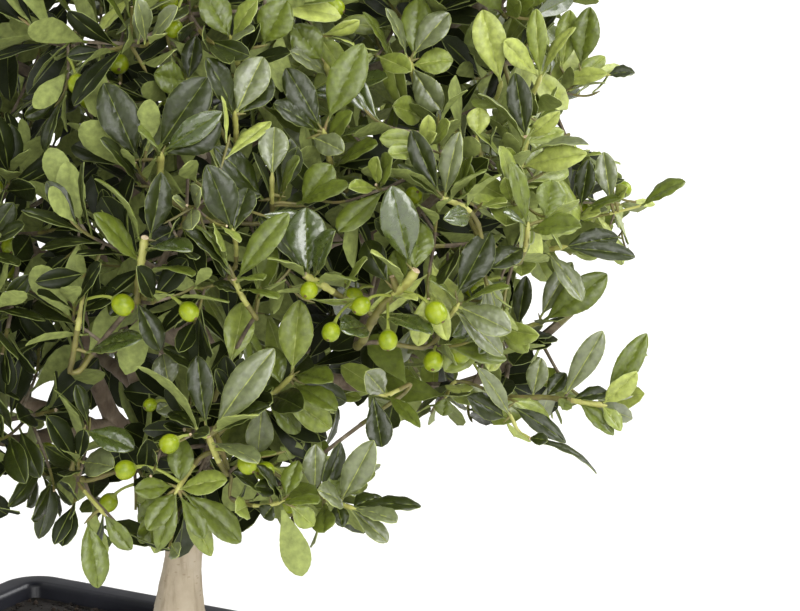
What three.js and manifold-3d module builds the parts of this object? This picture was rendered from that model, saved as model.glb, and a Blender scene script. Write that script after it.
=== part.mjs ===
// Japanese holly bonsai in a glazed tray pot, as a group of named solids.
// Millimetres, +Z up. The origin is the middle of the pot's flat underside, +X runs along the pot's
// long side and its front faces -Y. Heights in the tree are measured up from the soil at its foot.
import * as THREE from "three";
import { mergeVertices } from "three/addons/utils/BufferGeometryUtils.js";
import Module from "manifold-3d";

const wasm = await Module();
wasm.setup();

// Driving dimensions

const CLEARANCE = 0.3; // gap left between neighbouring solids

const POT = {
  length: 206,
  width: 144,
  height: 58,
  cornerRadius: 13,
  cornerSteps: 3,
  wall: 6,
  floor: 7,
  footHeight: 7,
  footInset: 16, // of the foot's sides from the rim's
  batter: 11, // how far the wall leans in from rim to base
  rimDepth: 9,
  rimProud: 3, // how far the rim stands out of the wall
  edgeRound: 1.4,
  drainRadius: 7,
  drainSpacing: 90,
  drainSides: 12,
};

const SOIL = {
  belowRim: 5,
  mound: 11.2, // rise of the soil from the wall to the tree's foot
  flatShare: 0.26, // share of the soil's size that stays flat round the foot
  rings: 4,
};

const SOIL_TOP = POT.height - SOIL.belowRim + SOIL.mound;

const TRUNK = {
  foot: new THREE.Vector2(8, 4), // where the tree stands on the pot's plan
  // centreline, as offset from the foot and height over the soil
  line: [
    [-1.8, -1, 0],
    [-1, -0.6, 20],
    [0, 1, 44],
    [-6, 2, 76],
    [4, -3, 114],
    [7, 0, 148],
    [1, 3, 178],
    [-1, 2, 194],
  ],
  // radius at each of these shares of the length
  taper: [
    [0, 11],
    [0.04, 9],
    [0.085, 7.7],
    [0.15, 5.7],
    [0.42, 4.9],
    [0.7, 3.8],
    [1, 2.2],
  ],
  sides: 10,
  rings: 18,
  roots: 5,
  rootSpread: 0.46, // how far the roots swell the foot, as a share of its radius
  rootHeight: 15,
};

const BOUGH = {
  baseRadius: 3.3,
  sideBaseRadius: 2.5,
  tipRadius: 2,
  sides: 5,
  rings: 5,
  rise: 0.22, // how far a bough climbs out of the trunk before it levels, per length
  entry: 0.5, // share of a mass's radius at which its bough ends
};

const LEAF = {
  length: 33,
  width: 16.5,
  thickness: 0.75, // of the ridge, from where the leaf thins to its tip and edges
  ridgeAt: 0.2,
  widestAt: 0.52,
  bluntness: 0.28, // width of the tip, as a share of the leaf's
  lengthSpread: 0.14,
  // lengths tried, as shares, and how many sides of the twig further on, before a leaf is skipped
  tries: [
    [1, 0],
    [0.9, 1],
    [0.9, 2],
    [0.75, 0],
    [0.75, 1],
    [0.75, 2],
  ],
};

const TWIG = {
  stemRadius: 2,
  stemTipRadius: 1.8,
  radius: 0.95,
  tipRadius: 0.8,
  nodeSpacing: 7, // between the places on a stem that twigs leave
  lastNode: 1.5, // from the last of them to the end of its straight stretch
  forkShare: 0.42, // share of a twig's length at which others may leave it
  shortest: 9,
  clearAfter: 3.5, // distance past its foot from which a twig touches no other
  leafSpacing: 3.6,
  leaves: 8,
  firstLean: 38, // of the last leaf from its twig, in degrees
  leanStep: 8, // further lean of each older leaf
  turnSpread: 26, // of a leaf from the middle of the twig's side it grows on
};

const FRUIT = {
  radius: 3.1,
  stalk: 6.5,
  stalkRadius: 0.55,
};

const MASS = {
  leaves: 33,
  twigs: 8,
  twigTries: 24,
  candidates: 16,
  nearShare: 0.4, // the twigs' tips lie between these shares of the mass's radii
  farShare: 0.78,
  stemEnd: 0.3, // how far past the mass's middle its stem runs, as a share of its radius
  outerWeight: 0.35, // how much a twig's tip is drawn to the crown's outside
  crownMiddle: 120, // height over the soil
  gap: 0.4, // from one mass's space to the next
  seed: 101,
  seedStep: 7, // from one mass to the next
  cornerGap: 0.001, // least distance between two corners of a mass's surface
};

// The crown, a mass in each row: its angle round the trunk in degrees from +X, its reach from the
// trunk's foot, its height over the soil, its radii along the reach, across it and upwards, and where
// its bough starts: a height on the trunk, or a share of another mass's bough.
const CROWN = [
  ["low_front", -50, 74, 85, [50, 54, 34], "trunk", 52],
  ["low_front_left", -108, 80, 90, [48, 54, 36], "trunk", 62],
  ["low_left", -158, 90, 92, [54, 58, 37], "trunk", 54],
  ["low_back_left", 150, 84, 94, [54, 60, 37], "trunk", 67],
  ["low_back_right", 88, 86, 94, [52, 60, 37], "trunk", 59],
  ["low_right", 26, 100, 98, [50, 58, 39], "trunk", 72],
  ["mid_front", -54, 72, 140, [47, 52, 44], "trunk", 100],
  ["mid_front_left", -102, 76, 140, [47, 52, 44], "low_front_left", 0.4],
  ["mid_left", -150, 90, 144, [52, 58, 44], "trunk", 94],
  ["mid_back_left", 158, 84, 142, [50, 58, 44], "low_back_left", 0.4],
  ["mid_back", 98, 76, 142, [50, 60, 44], "low_back_right", 0.4],
  ["mid_right", 40, 100, 144, [54, 58, 44], "trunk", 108],
  ["mid_right_front", -10, 86, 144, [52, 54, 44], "trunk", 88],
  ["high_front", -52, 48, 190, [50, 58, 42], "trunk", 132],
  ["high_right", 24, 78, 191, [54, 58, 43], "trunk", 140],
  ["high_back", 106, 52, 189, [50, 58, 42], "trunk", 148],
  ["high_left", -154, 64, 188, [54, 58, 42], "trunk", 124],
  ["top", 20, 6, 223, [58, 58, 34], "trunk_tip"],
];

const WITHOUT_FRUIT = ["low_left", "low_back_left", "mid_front", "mid_back_left", "high_left", "top"];

const COLOUR = {
  glaze: "#2b2c35",
  soil: "#241d18",
  bark: "#a99b84",
  twig: "#6f5b3c",
  leaf: "#41582a",
};

// Solids

const UP = new THREE.Vector3(0, 0, 1);

function seeded(seed) {
  let state = seed >>> 0;
  return () => {
    state = (state + 0x6d2b79f5) >>> 0;
    let mixed = Math.imul(state ^ (state >>> 15), state | 1);
    mixed ^= mixed + Math.imul(mixed ^ (mixed >>> 7), mixed | 61);
    return ((mixed ^ (mixed >>> 14)) >>> 0) / 4294967296;
  };
}

function between(random, low, high) {
  return low + (high - low) * random();
}

// A closed surface through rings of equal count, each counter-clockwise seen against the direction of
// travel, with a fan over the first and last ring.
function loft(rings) {
  const count = rings[0].length;
  const points = rings.flat();
  const index = [];
  for (let k = 0; k + 1 < rings.length; k += 1) {
    for (let i = 0; i < count; i += 1) {
      const next = (i + 1) % count;
      const low = k * count;
      const high = low + count;
      index.push(low + i, low + next, high + next, low + i, high + next, high + i);
    }
  }
  const last = points.length - count;
  if (count === 3) {
    index.push(2, 1, 0, last, last + 1, last + 2);
  } else {
    const first = points.length;
    points.push(middle(rings[0]), middle(rings.at(-1)));
    for (let i = 0; i < count; i += 1) {
      const next = (i + 1) % count;
      index.push(first, next, i, first + 1, last + i, last + next);
    }
  }
  return facets(points, index);
}

function middle(ring) {
  return ring.reduce((sum, p) => sum.add(p), new THREE.Vector3()).divideScalar(ring.length);
}

function facets(points, index) {
  return new THREE.BufferGeometry().setFromPoints(points).setIndex(index);
}

function toSolid(geometry) {
  const bare = new THREE.BufferGeometry();
  bare.setAttribute("position", geometry.getAttribute("position"));
  bare.setIndex(geometry.index);
  const merged = mergeVertices(bare, 1e-4);
  const vertProperties = new Float32Array(merged.getAttribute("position").array);
  const triVerts = new Uint32Array(merged.index.array);
  return new wasm.Manifold(new wasm.Mesh({ numProp: 3, vertProperties, triVerts }));
}

function toMesh(name, solid, colour, roughness) {
  const made = solid.getMesh();
  const geometry = new THREE.BufferGeometry();
  geometry.setAttribute("position", new THREE.BufferAttribute(made.vertProperties, 3));
  geometry.setIndex(new THREE.BufferAttribute(made.triVerts, 1));
  geometry.computeVertexNormals();
  const material = new THREE.MeshStandardMaterial({ color: colour, roughness, metalness: 0 });
  const mesh = new THREE.Mesh(geometry, material);
  mesh.name = name;
  return mesh;
}

// The largest connected body of a solid, without the crumbs a cut can leave.
function largestBody(solid) {
  return solid.decompose().reduce((best, body) => (body.volume() > best.volume() ? body : best));
}

// Pot and soil

function roundedRectangle(length, width, radius, height) {
  const ring = [];
  const corners = [
    [1, 1],
    [-1, 1],
    [-1, -1],
    [1, -1],
  ];
  corners.forEach(([sideX, sideY], quarter) => {
    for (let step = 0; step <= POT.cornerSteps; step += 1) {
      const angle = ((quarter + step / POT.cornerSteps) * Math.PI) / 2;
      const x = sideX * (length / 2 - radius) + radius * Math.cos(angle);
      const y = sideY * (width / 2 - radius) + radius * Math.sin(angle);
      ring.push(new THREE.Vector3(x, y, height));
    }
  });
  return ring;
}

// The pot's plan, drawn in from the rim's outline by an inset.
function potRing(inset, height) {
  const radius = Math.max(POT.cornerRadius - inset, 2);
  return roundedRectangle(POT.length - 2 * inset, POT.width - 2 * inset, radius, height);
}

// How far the wall's outer face stands in from the rim's at a height.
function wallInset(height) {
  const share = (POT.height - height) / (POT.height - POT.footHeight);
  return POT.rimProud + (POT.batter - POT.rimProud) * share;
}

function pot() {
  const { height, wall, rimDepth, edgeRound, footHeight, footInset, floor } = POT;
  const rimFoot = height - rimDepth;
  const inner = (z) => wallInset(z) + wall;
  const shell = toSolid(
    loft([
      potRing(footInset + edgeRound, 0),
      potRing(footInset, edgeRound),
      potRing(footInset, footHeight),
      potRing(wallInset(footHeight) + edgeRound, footHeight),
      potRing(wallInset(footHeight), footHeight + edgeRound),
      potRing(wallInset(rimFoot), rimFoot),
      potRing(edgeRound, rimFoot + edgeRound),
      potRing(0, rimFoot + 2 * edgeRound),
      potRing(0, height - edgeRound),
      potRing(edgeRound, height),
      potRing(inner(height) - edgeRound, height),
      potRing(inner(height), height - edgeRound),
      potRing(inner(floor), floor + edgeRound),
      potRing(inner(floor) + edgeRound, floor),
    ]),
  );
  const drain = (side) => {
    const hole = new THREE.CylinderGeometry(POT.drainRadius, POT.drainRadius, 4 * floor, POT.drainSides);
    hole.rotateX(Math.PI / 2);
    hole.translate((side * POT.drainSpacing) / 2, 0, 0);
    return toSolid(hole);
  };
  return shell.subtract(drain(-1)).subtract(drain(1));
}

function soil() {
  const edgeHeight = POT.height - SOIL.belowRim;
  const inset = (z) => wallInset(z) + POT.wall + CLEARANCE;
  const low = POT.floor + CLEARANCE;
  const rings = [potRing(inset(low) + POT.edgeRound, low), potRing(inset(low), low + POT.edgeRound)];
  const edge = potRing(inset(edgeHeight), edgeHeight);
  const foot = new THREE.Vector3(TRUNK.foot.x, TRUNK.foot.y, 0);
  for (let k = 0; k <= SOIL.rings; k += 1) {
    const share = 1 - (k / SOIL.rings) * (1 - SOIL.flatShare);
    const rise = 1 - (share - SOIL.flatShare) / (1 - SOIL.flatShare);
    const smooth = rise * rise * (3 - 2 * rise);
    rings.push(
      edge.map((p) => {
        const moved = p.clone().lerp(foot, 1 - share);
        moved.z = edgeHeight + SOIL.mound * smooth;
        return moved;
      }),
    );
  }
  return toSolid(loft(rings));
}

// Trunk and boughs. A limb is a centreline with a radius at each of its samples.

function interpolate(table, share) {
  const upper = table.findIndex(([at]) => at >= share);
  if (upper <= 0) return table.at(upper)[1];
  const [lowAt, lowValue] = table[upper - 1];
  const [highAt, highValue] = table[upper];
  return lowValue + ((highValue - lowValue) * (share - lowAt)) / (highAt - lowAt);
}

function limbSamples(curve, radiusAt, steps) {
  return curve.getSpacedPoints(steps).map((point, k) => ({ point, radius: radiusAt(k / steps) }));
}

// Two directions across a path, square to it and to each other.
function crossing(along, previous) {
  const side = previous ? previous.clone() : new THREE.Vector3(1, 0, 0);
  if (!previous && Math.abs(along.x) > 0.9) side.set(0, 1, 0);
  side.addScaledVector(along, -side.dot(along)).normalize();
  return { side, across: along.clone().cross(side) };
}

// The limb's surface as rings across its path, each swollen by grow. swell gives a further factor on
// the radius from the angle round the limb and the sample.
function limbSolid(samples, sides, grow = 0, swell = () => 1) {
  let previous = null;
  const rings = samples.map(({ point, radius }, k) => {
    const ahead = samples[Math.min(k + 1, samples.length - 1)].point;
    const behind = samples[Math.max(k - 1, 0)].point;
    const { side, across } = crossing(ahead.clone().sub(behind).normalize(), previous);
    previous = side;
    return Array.from({ length: sides }, (_, i) => {
      const angle = (2 * Math.PI * i) / sides;
      const reach = radius * swell(angle, samples[k]) + grow;
      return point
        .clone()
        .addScaledVector(side, reach * Math.cos(angle))
        .addScaledVector(across, reach * Math.sin(angle));
    });
  });
  return toSolid(loft(rings));
}

function overSoil(x, y, height) {
  return new THREE.Vector3(TRUNK.foot.x + x, TRUNK.foot.y + y, SOIL_TOP + CLEARANCE + height);
}

function trunkSamples() {
  const curve = new THREE.CatmullRomCurve3(TRUNK.line.map(([x, y, z]) => overSoil(x, y, z)));
  const samples = limbSamples(curve, (share) => interpolate(TRUNK.taper, share), TRUNK.rings);
  samples[0].radius *= 1.12;
  return samples;
}

// The roots' swelling of the trunk's foot, which dies out with height.
function rootSwell(angle, { point }) {
  const share = Math.max(0, 1 - (point.z - SOIL_TOP) / TRUNK.rootHeight);
  return 1 + TRUNK.rootSpread * share * share * (0.5 + 0.5 * Math.cos(TRUNK.roots * angle + 0.6));
}

// The trunk's foot is cut flat at the soil, whatever the first ring's tilt.
function trunkSolid(samples, grow = 0) {
  const rings = samples.map((s) => ({ ...s }));
  const solid = limbSolid(rings, TRUNK.sides, grow, rootSwell);
  return grow > 0 ? solid : solid.trimByPlane([0, 0, 1], SOIL_TOP + CLEARANCE + 0.05);
}

function nearest(samples, height) {
  const level = SOIL_TOP + height;
  return samples.reduce((best, s) =>
    Math.abs(s.point.z - level) < Math.abs(best.point.z - level) ? s : best,
  );
}

function massFrame([name, degrees, reach, height, radii, from, at]) {
  const angle = THREE.MathUtils.degToRad(degrees);
  const outward = new THREE.Vector3(Math.cos(angle), Math.sin(angle), 0);
  const centre = overSoil(reach * outward.x, reach * outward.y, height);
  const facing = centre.clone().sub(overSoil(0, 0, MASS.crownMiddle)).normalize();
  return { name, radii, from, at, outward, across: UP.clone().cross(outward), centre, facing };
}

function boughSamples(start, mass, baseRadius) {
  const toCentre = mass.centre.clone().sub(start);
  const away = toCentre.clone().setZ(toCentre.z * 0.5).normalize();
  const end = mass.centre
    .clone()
    .addScaledVector(mass.outward, -mass.radii[0] * BOUGH.entry)
    .addScaledVector(UP, -mass.radii[2] * 0.3);
  const span = end.distanceTo(start);
  const rise = start.clone().addScaledVector(away, 0.35 * span).addScaledVector(UP, BOUGH.rise * span);
  const level = end.clone().addScaledVector(mass.outward, -0.3 * span).addScaledVector(UP, -0.02 * span);
  const curve = new THREE.CubicBezierCurve3(start, rise, level, end);
  const radiusAt = (share) => baseRadius + (BOUGH.tipRadius - baseRadius) * Math.pow(share, 0.8);
  return limbSamples(curve, radiusAt, BOUGH.rings);
}

// Leaf masses

function localShare(mass, point) {
  const offset = point.clone().sub(mass.centre);
  const [along, across, upwards] = mass.radii;
  return Math.hypot(
    offset.dot(mass.outward) / along,
    offset.dot(mass.across) / across,
    offset.z / upwards,
  );
}

// Planes between a mass and each neighbour whose space would meet its own, at the share of their radii.
function dividers(mass, masses) {
  const reach = (m) => Math.max(...m.radii);
  const mean = (m) => (m.radii[0] + m.radii[1] + m.radii[2]) / 3;
  return masses
    .filter((other) => other !== mass && other.centre.distanceTo(mass.centre) < reach(other) + reach(mass))
    .map((other) => {
      const span = other.centre.clone().sub(mass.centre);
      const share = mean(mass) / (mean(mass) + mean(other));
      const limit = span.length() * share - MASS.gap / 2;
      return { normal: span.normalize(), limit };
    });
}

function inSpace(mass, point) {
  if (localShare(mass, point) > 1) return false;
  const offset = point.clone().sub(mass.centre);
  return mass.dividers.every(({ normal, limit }) => offset.dot(normal) < limit);
}

// True where a stretch from one point to another, with a half width at each share, is off every limb.
function clearOfLimbs(limbs, from, to, halfWidthAt) {
  const steps = 6;
  for (let k = 0; k <= steps; k += 1) {
    const point = from.clone().lerp(to, k / steps);
    const need = halfWidthAt(k / steps) + 2 * CLEARANCE;
    if (limbs.some((s) => s.point.distanceTo(point) < s.radius + need)) return false;
  }
  return true;
}

function withBox(solid) {
  return { solid, box: solid.boundingBox() };
}

// True where a solid would run through any of those that have grown already.
function meets(grown, { solid, box }) {
  const apart = (other) => [0, 1, 2].some((i) => box.min[i] > other.max[i] || box.max[i] < other.min[i]);
  return grown.some((g) => !apart(g.box) && g.solid.intersect(solid).volume() > 0);
}

// A leaf of eight faces: flat below, with a ridge above that starts near its foot.
function leafSolid(foot, along, upper, length) {
  const scale = length / LEAF.length;
  const side = along.clone().cross(upper).normalize();
  const face = side.clone().cross(along);
  const at = (share, across, above) =>
    foot
      .clone()
      .addScaledVector(along, share * length)
      .addScaledVector(side, across * scale)
      .addScaledVector(face, above * scale);
  const corners = [
    at(0, 0, 0),
    at(LEAF.ridgeAt, 0, LEAF.thickness),
    at(LEAF.widestAt, -LEAF.width / 2, 0),
    at(LEAF.widestAt, LEAF.width / 2, 0),
    at(1, (-LEAF.bluntness * LEAF.width) / 2, 0),
    at(1, (LEAF.bluntness * LEAF.width) / 2, 0),
  ];
  const index = [0, 1, 2, 0, 3, 1, 1, 4, 2, 1, 5, 4, 1, 3, 5, 0, 2, 3, 2, 4, 3, 4, 5, 3];
  return { corners, ...withBox(toSolid(facets(corners, index))) };
}

function twigSolid(from, to, fromRadius, toRadius) {
  const samples = [
    { point: from, radius: fromRadius },
    { point: to, radius: toRadius },
  ];
  return withBox(limbSolid(samples, 3));
}

// Candidate for a twig's tip, in the outer part of the mass's space.
function tipCandidate(mass, random) {
  const height = between(random, -0.8, 1);
  const turn = between(random, -Math.PI, Math.PI);
  const flat = Math.sqrt(1 - height * height);
  const share = between(random, MASS.nearShare, MASS.farShare);
  return mass.centre
    .clone()
    .addScaledVector(mass.outward, share * mass.radii[0] * flat * Math.cos(turn))
    .addScaledVector(mass.across, share * mass.radii[1] * flat * Math.sin(turn))
    .addScaledVector(UP, share * mass.radii[2] * height);
}

// Of several candidates, the one with the most room round it.
function twigTip(mass, random, taken) {
  let best = null;
  for (let k = 0; k < MASS.candidates; k += 1) {
    const point = tipCandidate(mass, random);
    if (!inSpace(mass, point)) continue;
    const room = Math.min(1e3, ...taken.map((t) => t.distanceTo(point)));
    const score = room + MASS.outerWeight * point.clone().sub(mass.centre).dot(mass.facing);
    if (!best || score > best.score) best = { point, score };
  }
  return best.point;
}

// The mass's stem, which goes on straight from the bough's tip and then bends to the mass's far side.
function stem(mass, start, direction) {
  const end = mass.centre
    .clone()
    .addScaledVector(mass.outward, MASS.stemEnd * mass.radii[0])
    .addScaledVector(UP, MASS.stemEnd * mass.radii[2]);
  const heart = start.clone().addScaledVector(direction, 0.55 * start.distanceTo(mass.centre));
  const path = [start, heart, end];
  const samples = path.map((point, k) => ({
    point,
    radius: TWIG.stemRadius + ((TWIG.stemTipRadius - TWIG.stemRadius) * k) / 2,
  }));
  const made = withBox(limbSolid(samples, 3));
  const places = path.slice(1).flatMap((to, k) => {
    const from = path[k];
    const reach = from.distanceTo(to) - TWIG.lastNode;
    const count = Math.max(1, Math.round(reach / TWIG.nodeSpacing));
    const along = to.clone().sub(from).normalize();
    return Array.from({ length: count }, (_, i) => ({
      point: from.clone().addScaledVector(along, (reach * (i + 1)) / count),
      depth: 0,
      carrier: made,
    }));
  });
  return { made, places };
}

// Twigs that each run from the nearest wood inside the mass to a tip with room round it.
function twigs(mass, start, direction, random, limbs) {
  const { made, places } = stem(mass, start, direction);
  const grown = [made];
  const taken = [];
  const found = [];
  for (let k = 0; k < MASS.twigTries && found.length < MASS.twigs; k += 1) {
    const tip = twigTip(mass, random, taken);
    const cost = (place) => place.point.distanceTo(tip) * (1 + 0.15 * place.depth);
    const from = places.reduce((best, place) => (cost(place) < cost(best) ? place : best));
    if (from.point.distanceTo(tip) < TWIG.shortest) continue;
    const along = tip.clone().sub(from.point).normalize();
    const free = from.point.clone().addScaledVector(along, TWIG.clearAfter);
    const others = grown.filter((g) => g !== from.carrier);
    if (!clearOfLimbs(limbs, from.point, tip, () => TWIG.radius)) continue;
    if (meets(others, twigSolid(free, tip, TWIG.radius, TWIG.tipRadius))) continue;
    const twig = twigSolid(from.point, tip, TWIG.radius, TWIG.tipRadius);
    taken.push(tip);
    grown.push(twig);
    found.push({ foot: from.point, tip, along, carrier: from.carrier, made: twig });
    const fork = from.point.clone().lerp(tip, TWIG.forkShare);
    places.push({ point: fork, depth: from.depth + 1, carrier: twig });
  }
  return { grown, found };
}

// The k-th leaf down from a twig's tip. Leaves take the twig's three sides in turn, and each leans
// further out than the one above it. Where a leaf has no room, the next side is tried.
function leafOn(mass, twig, k, random, limbs, grown) {
  const back = 0.9 + k * TWIG.leafSpacing;
  const full = LEAF.length * between(random, 1 - LEAF.lengthSpread, 1 + LEAF.lengthSpread);
  const spread = between(random, -TWIG.turnSpread, TWIG.turnSpread);
  if (back > 0.85 * twig.foot.distanceTo(twig.tip)) return null;
  const root = twig.tip.clone().addScaledVector(twig.along, -back);
  const { side, across } = crossing(twig.along);
  const lean = THREE.MathUtils.degToRad(TWIG.firstLean + TWIG.leanStep * k);
  const upper = twig.along.clone().addScaledVector(UP, 0.6);
  upper.addScaledVector(side, between(random, -0.4, 0.4));
  upper.addScaledVector(across, between(random, -0.4, 0.4));
  const halfWidthAt = (share) => (LEAF.width / 2) * Math.sin(Math.PI * Math.min(1, share + 0.05));
  const others = grown.filter((g) => g !== twig.made);
  for (const [share, extra] of LEAF.tries) {
    const turn = THREE.MathUtils.degToRad(60 + 120 * ((k + twig.turn + extra) % 3) + spread);
    const direction = twig.along
      .clone()
      .multiplyScalar(Math.cos(lean))
      .addScaledVector(side, Math.sin(lean) * Math.cos(turn))
      .addScaledVector(across, Math.sin(lean) * Math.sin(turn));
    const leaf = leafSolid(root, direction, upper, full * share);
    if (!leaf.corners.every((p) => inSpace(mass, p))) continue;
    if (!clearOfLimbs(limbs, root, leaf.corners.at(-1), halfWidthAt)) continue;
    if (!meets(others, leaf)) return leaf;
  }
  return null;
}

// A berry on a stalk that hangs from the middle of a twig.
function fruitOn(mass, twig, limbs, grown) {
  const { side } = crossing(twig.along);
  const hang = side.clone().addScaledVector(UP, -0.9).normalize();
  const start = twig.foot.clone().lerp(twig.tip, 0.6);
  const centre = start.clone().addScaledVector(hang, FRUIT.stalk + FRUIT.radius);
  const round = new THREE.IcosahedronGeometry(FRUIT.radius, 0);
  round.translate(centre.x, centre.y, centre.z);
  round.deleteAttribute("normal");
  round.deleteAttribute("uv");
  const berry = withBox(toSolid(mergeVertices(round, 1e-3)));
  const stalk = twigSolid(start, centre, FRUIT.stalkRadius, FRUIT.stalkRadius);
  const others = grown.filter((g) => g !== twig.made);
  if (localShare(mass, centre) > 0.9 || !inSpace(mass, centre)) return [];
  if (!clearOfLimbs(limbs, start, centre, () => FRUIT.radius)) return [];
  return meets(grown, berry) || meets(others, stalk) ? [] : [berry, stalk];
}

function leafMass(mass, start, direction, limbs, seed) {
  const random = seeded(seed);
  const { grown, found } = twigs(mass, start, direction, random, limbs);
  found.forEach((twig) => {
    twig.turn = Math.floor(3 * random());
  });
  let leaves = 0;
  for (let k = 0; k < TWIG.leaves; k += 1) {
    for (const twig of found) {
      const leaf = leaves < MASS.leaves && leafOn(mass, twig, k, random, limbs, grown);
      if (!leaf) continue;
      grown.push(leaf);
      leaves += 1;
    }
  }
  for (const twig of WITHOUT_FRUIT.includes(mass.name) ? [] : found) {
    const fruit = fruitOn(mass, twig, limbs, grown);
    grown.push(...fruit);
    if (fruit.length) break;
  }
  return largestBody(wasm.Manifold.union(grown.map((g) => g.solid)).simplify(0.05));
}

// True where two corners of a surface lie too close to be told apart in a file.
function crowded(solid) {
  const { vertProperties: at } = solid.getMesh();
  for (let i = 0; i < at.length; i += 3) {
    for (let j = i + 3; j < at.length; j += 3) {
      const gap = Math.hypot(at[i] - at[j], at[i + 1] - at[j + 1], at[i + 2] - at[j + 2]);
      if (gap < MASS.cornerGap) return true;
    }
  }
  return false;
}

// The mass from the first of its seeds that grows without crowded corners.
function soundMass(mass, start, direction, limbs, firstSeed) {
  let seed = firstSeed;
  let solid = leafMass(mass, start, direction, limbs, seed);
  while (crowded(solid)) {
    seed += 1;
    solid = leafMass(mass, start, direction, limbs, seed);
  }
  return solid;
}

// Assembly

function plant(group) {
  const trunk = trunkSamples();
  group.add(toMesh("trunk", trunkSolid(trunk), COLOUR.bark, 0.85));
  const trunkGrown = trunkSolid(trunk, CLEARANCE);
  const masses = CROWN.map(massFrame);
  masses.forEach((mass) => {
    mass.dividers = dividers(mass, masses);
  });
  const limbs = new Map();
  masses.forEach((mass) => {
    if (mass.from === "trunk_tip") return;
    const fromTrunk = mass.from === "trunk";
    const parent = fromTrunk ? null : limbs.get(mass.from);
    const start = fromTrunk
      ? nearest(trunk, mass.at).point
      : parent.samples[Math.round(mass.at * BOUGH.rings)].point;
    const samples = boughSamples(start, mass, fromTrunk ? BOUGH.baseRadius : BOUGH.sideBaseRadius);
    const host = fromTrunk ? trunkGrown : limbSolid(parent.samples, BOUGH.sides, CLEARANCE);
    const solid = largestBody(limbSolid(samples, BOUGH.sides).subtract(host).simplify(0.02));
    limbs.set(mass.name, { samples });
    group.add(toMesh(`bough_${mass.name}`, solid, COLOUR.twig, 0.8));
  });
  const wood = [trunk, ...[...limbs.values()].map((limb) => limb.samples)].flatMap(denser);
  masses.forEach((mass, k) => {
    const carrier = mass.from === "trunk_tip" ? trunk : limbs.get(mass.name).samples;
    const tip = carrier.at(-1).point;
    const direction = tip.clone().sub(carrier.at(-2).point).normalize();
    const start = tip.clone().addScaledVector(direction, CLEARANCE + 0.1);
    const seed = MASS.seed + MASS.seedStep * k;
    const solid = soundMass(mass, start, direction, wood, seed);
    group.add(toMesh(`leaves_${mass.name}`, solid, COLOUR.leaf, 0.5));
  });
}

// The same limb with samples close enough together to test distances against.
function denser(samples) {
  const dense = [];
  samples.slice(1).forEach((sample, k) => {
    const from = samples[k];
    const steps = Math.ceil(from.point.distanceTo(sample.point) / 2.5);
    for (let i = 0; i < steps; i += 1) {
      const share = i / steps;
      const radius = from.radius + (sample.radius - from.radius) * share;
      dense.push({ point: from.point.clone().lerp(sample.point, share), radius });
    }
  });
  dense.push(samples.at(-1));
  return dense;
}

const holly = new THREE.Group();
holly.add(toMesh("pot", pot(), COLOUR.glaze, 0.3));
holly.add(toMesh("soil", soil(), COLOUR.soil, 0.95));
plant(holly);

export default holly;
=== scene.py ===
# Japanese holly bonsai in a glazed tray pot: the looks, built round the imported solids.
# Lengths are millimetres in the part's own frame until a mesh is made, which is in metres.
# The crown grows from the limbs by the rule of the part's source, and goes on to finer twigs,
# leaves of true size and berries.
import math

import bpy
import numpy as np
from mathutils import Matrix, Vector, noise


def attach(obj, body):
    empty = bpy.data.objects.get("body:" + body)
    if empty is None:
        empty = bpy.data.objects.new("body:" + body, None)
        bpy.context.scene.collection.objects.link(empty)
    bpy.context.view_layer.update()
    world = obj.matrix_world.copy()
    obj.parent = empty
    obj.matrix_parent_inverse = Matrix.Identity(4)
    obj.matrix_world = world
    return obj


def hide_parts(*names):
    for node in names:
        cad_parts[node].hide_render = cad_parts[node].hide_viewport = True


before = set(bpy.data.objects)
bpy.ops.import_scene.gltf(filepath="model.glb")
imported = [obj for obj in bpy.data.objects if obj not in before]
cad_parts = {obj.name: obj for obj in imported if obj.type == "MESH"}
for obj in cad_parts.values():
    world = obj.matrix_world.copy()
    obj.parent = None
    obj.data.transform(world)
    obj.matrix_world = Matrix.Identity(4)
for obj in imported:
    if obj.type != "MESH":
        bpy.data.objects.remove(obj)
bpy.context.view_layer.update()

METRE = 0.001

# The solids' own dimensions

CLEARANCE = 0.3
POT = dict(
    length=206, width=144, height=58, corner=13, corner_steps=12, wall=6, floor=7, foot_height=7,
    foot_inset=16, batter=11, rim_depth=9, rim_proud=3, edge=1.4, drain_radius=7, drain_spacing=90,
)
SOIL = dict(below_rim=5, mound=11.2, flat_share=0.26)
SOIL_TOP = POT["height"] - SOIL["below_rim"] + SOIL["mound"]
TRUNK = dict(
    foot=(8, 4),
    line=[
        (-1.8, -1, 0), (-1, -0.6, 20), (0, 1, 44), (-6, 2, 76), (4, -3, 114), (7, 0, 148), (1, 3, 178),
        (-1, 2, 194),
    ],
    taper=[(0, 11), (0.04, 9), (0.085, 7.7), (0.15, 5.7), (0.42, 4.9), (0.7, 3.8), (1, 2.2)],
    roots=5, root_spread=0.46, root_height=15, root_turn=0.6, first_ring=1.12,
)
# A bough leaves its carrier outward and rises, comes in level, and enters its mass at "entry"
BOUGH = dict(
    base=3.3, side_base=2.5, tip=2, rise=0.22, entry=0.5, rings=5, flatness=0.5, leave=0.35, arrive=0.3,
    below=0.3, sag=0.02, taper=0.8,
)
STEM = dict(radius=2, tip_radius=1.8, spacing=7, last=1.5, end=0.3, heart=0.55, overlap=0.5, steps=8)
MASS = dict(outer_weight=0.35, middle=120, gap=0.4, step=7, low=-0.8)
SEEDS = dict(shoots=101, fine=811, front=811, leaves=812, closing=907, soil=29)
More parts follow.
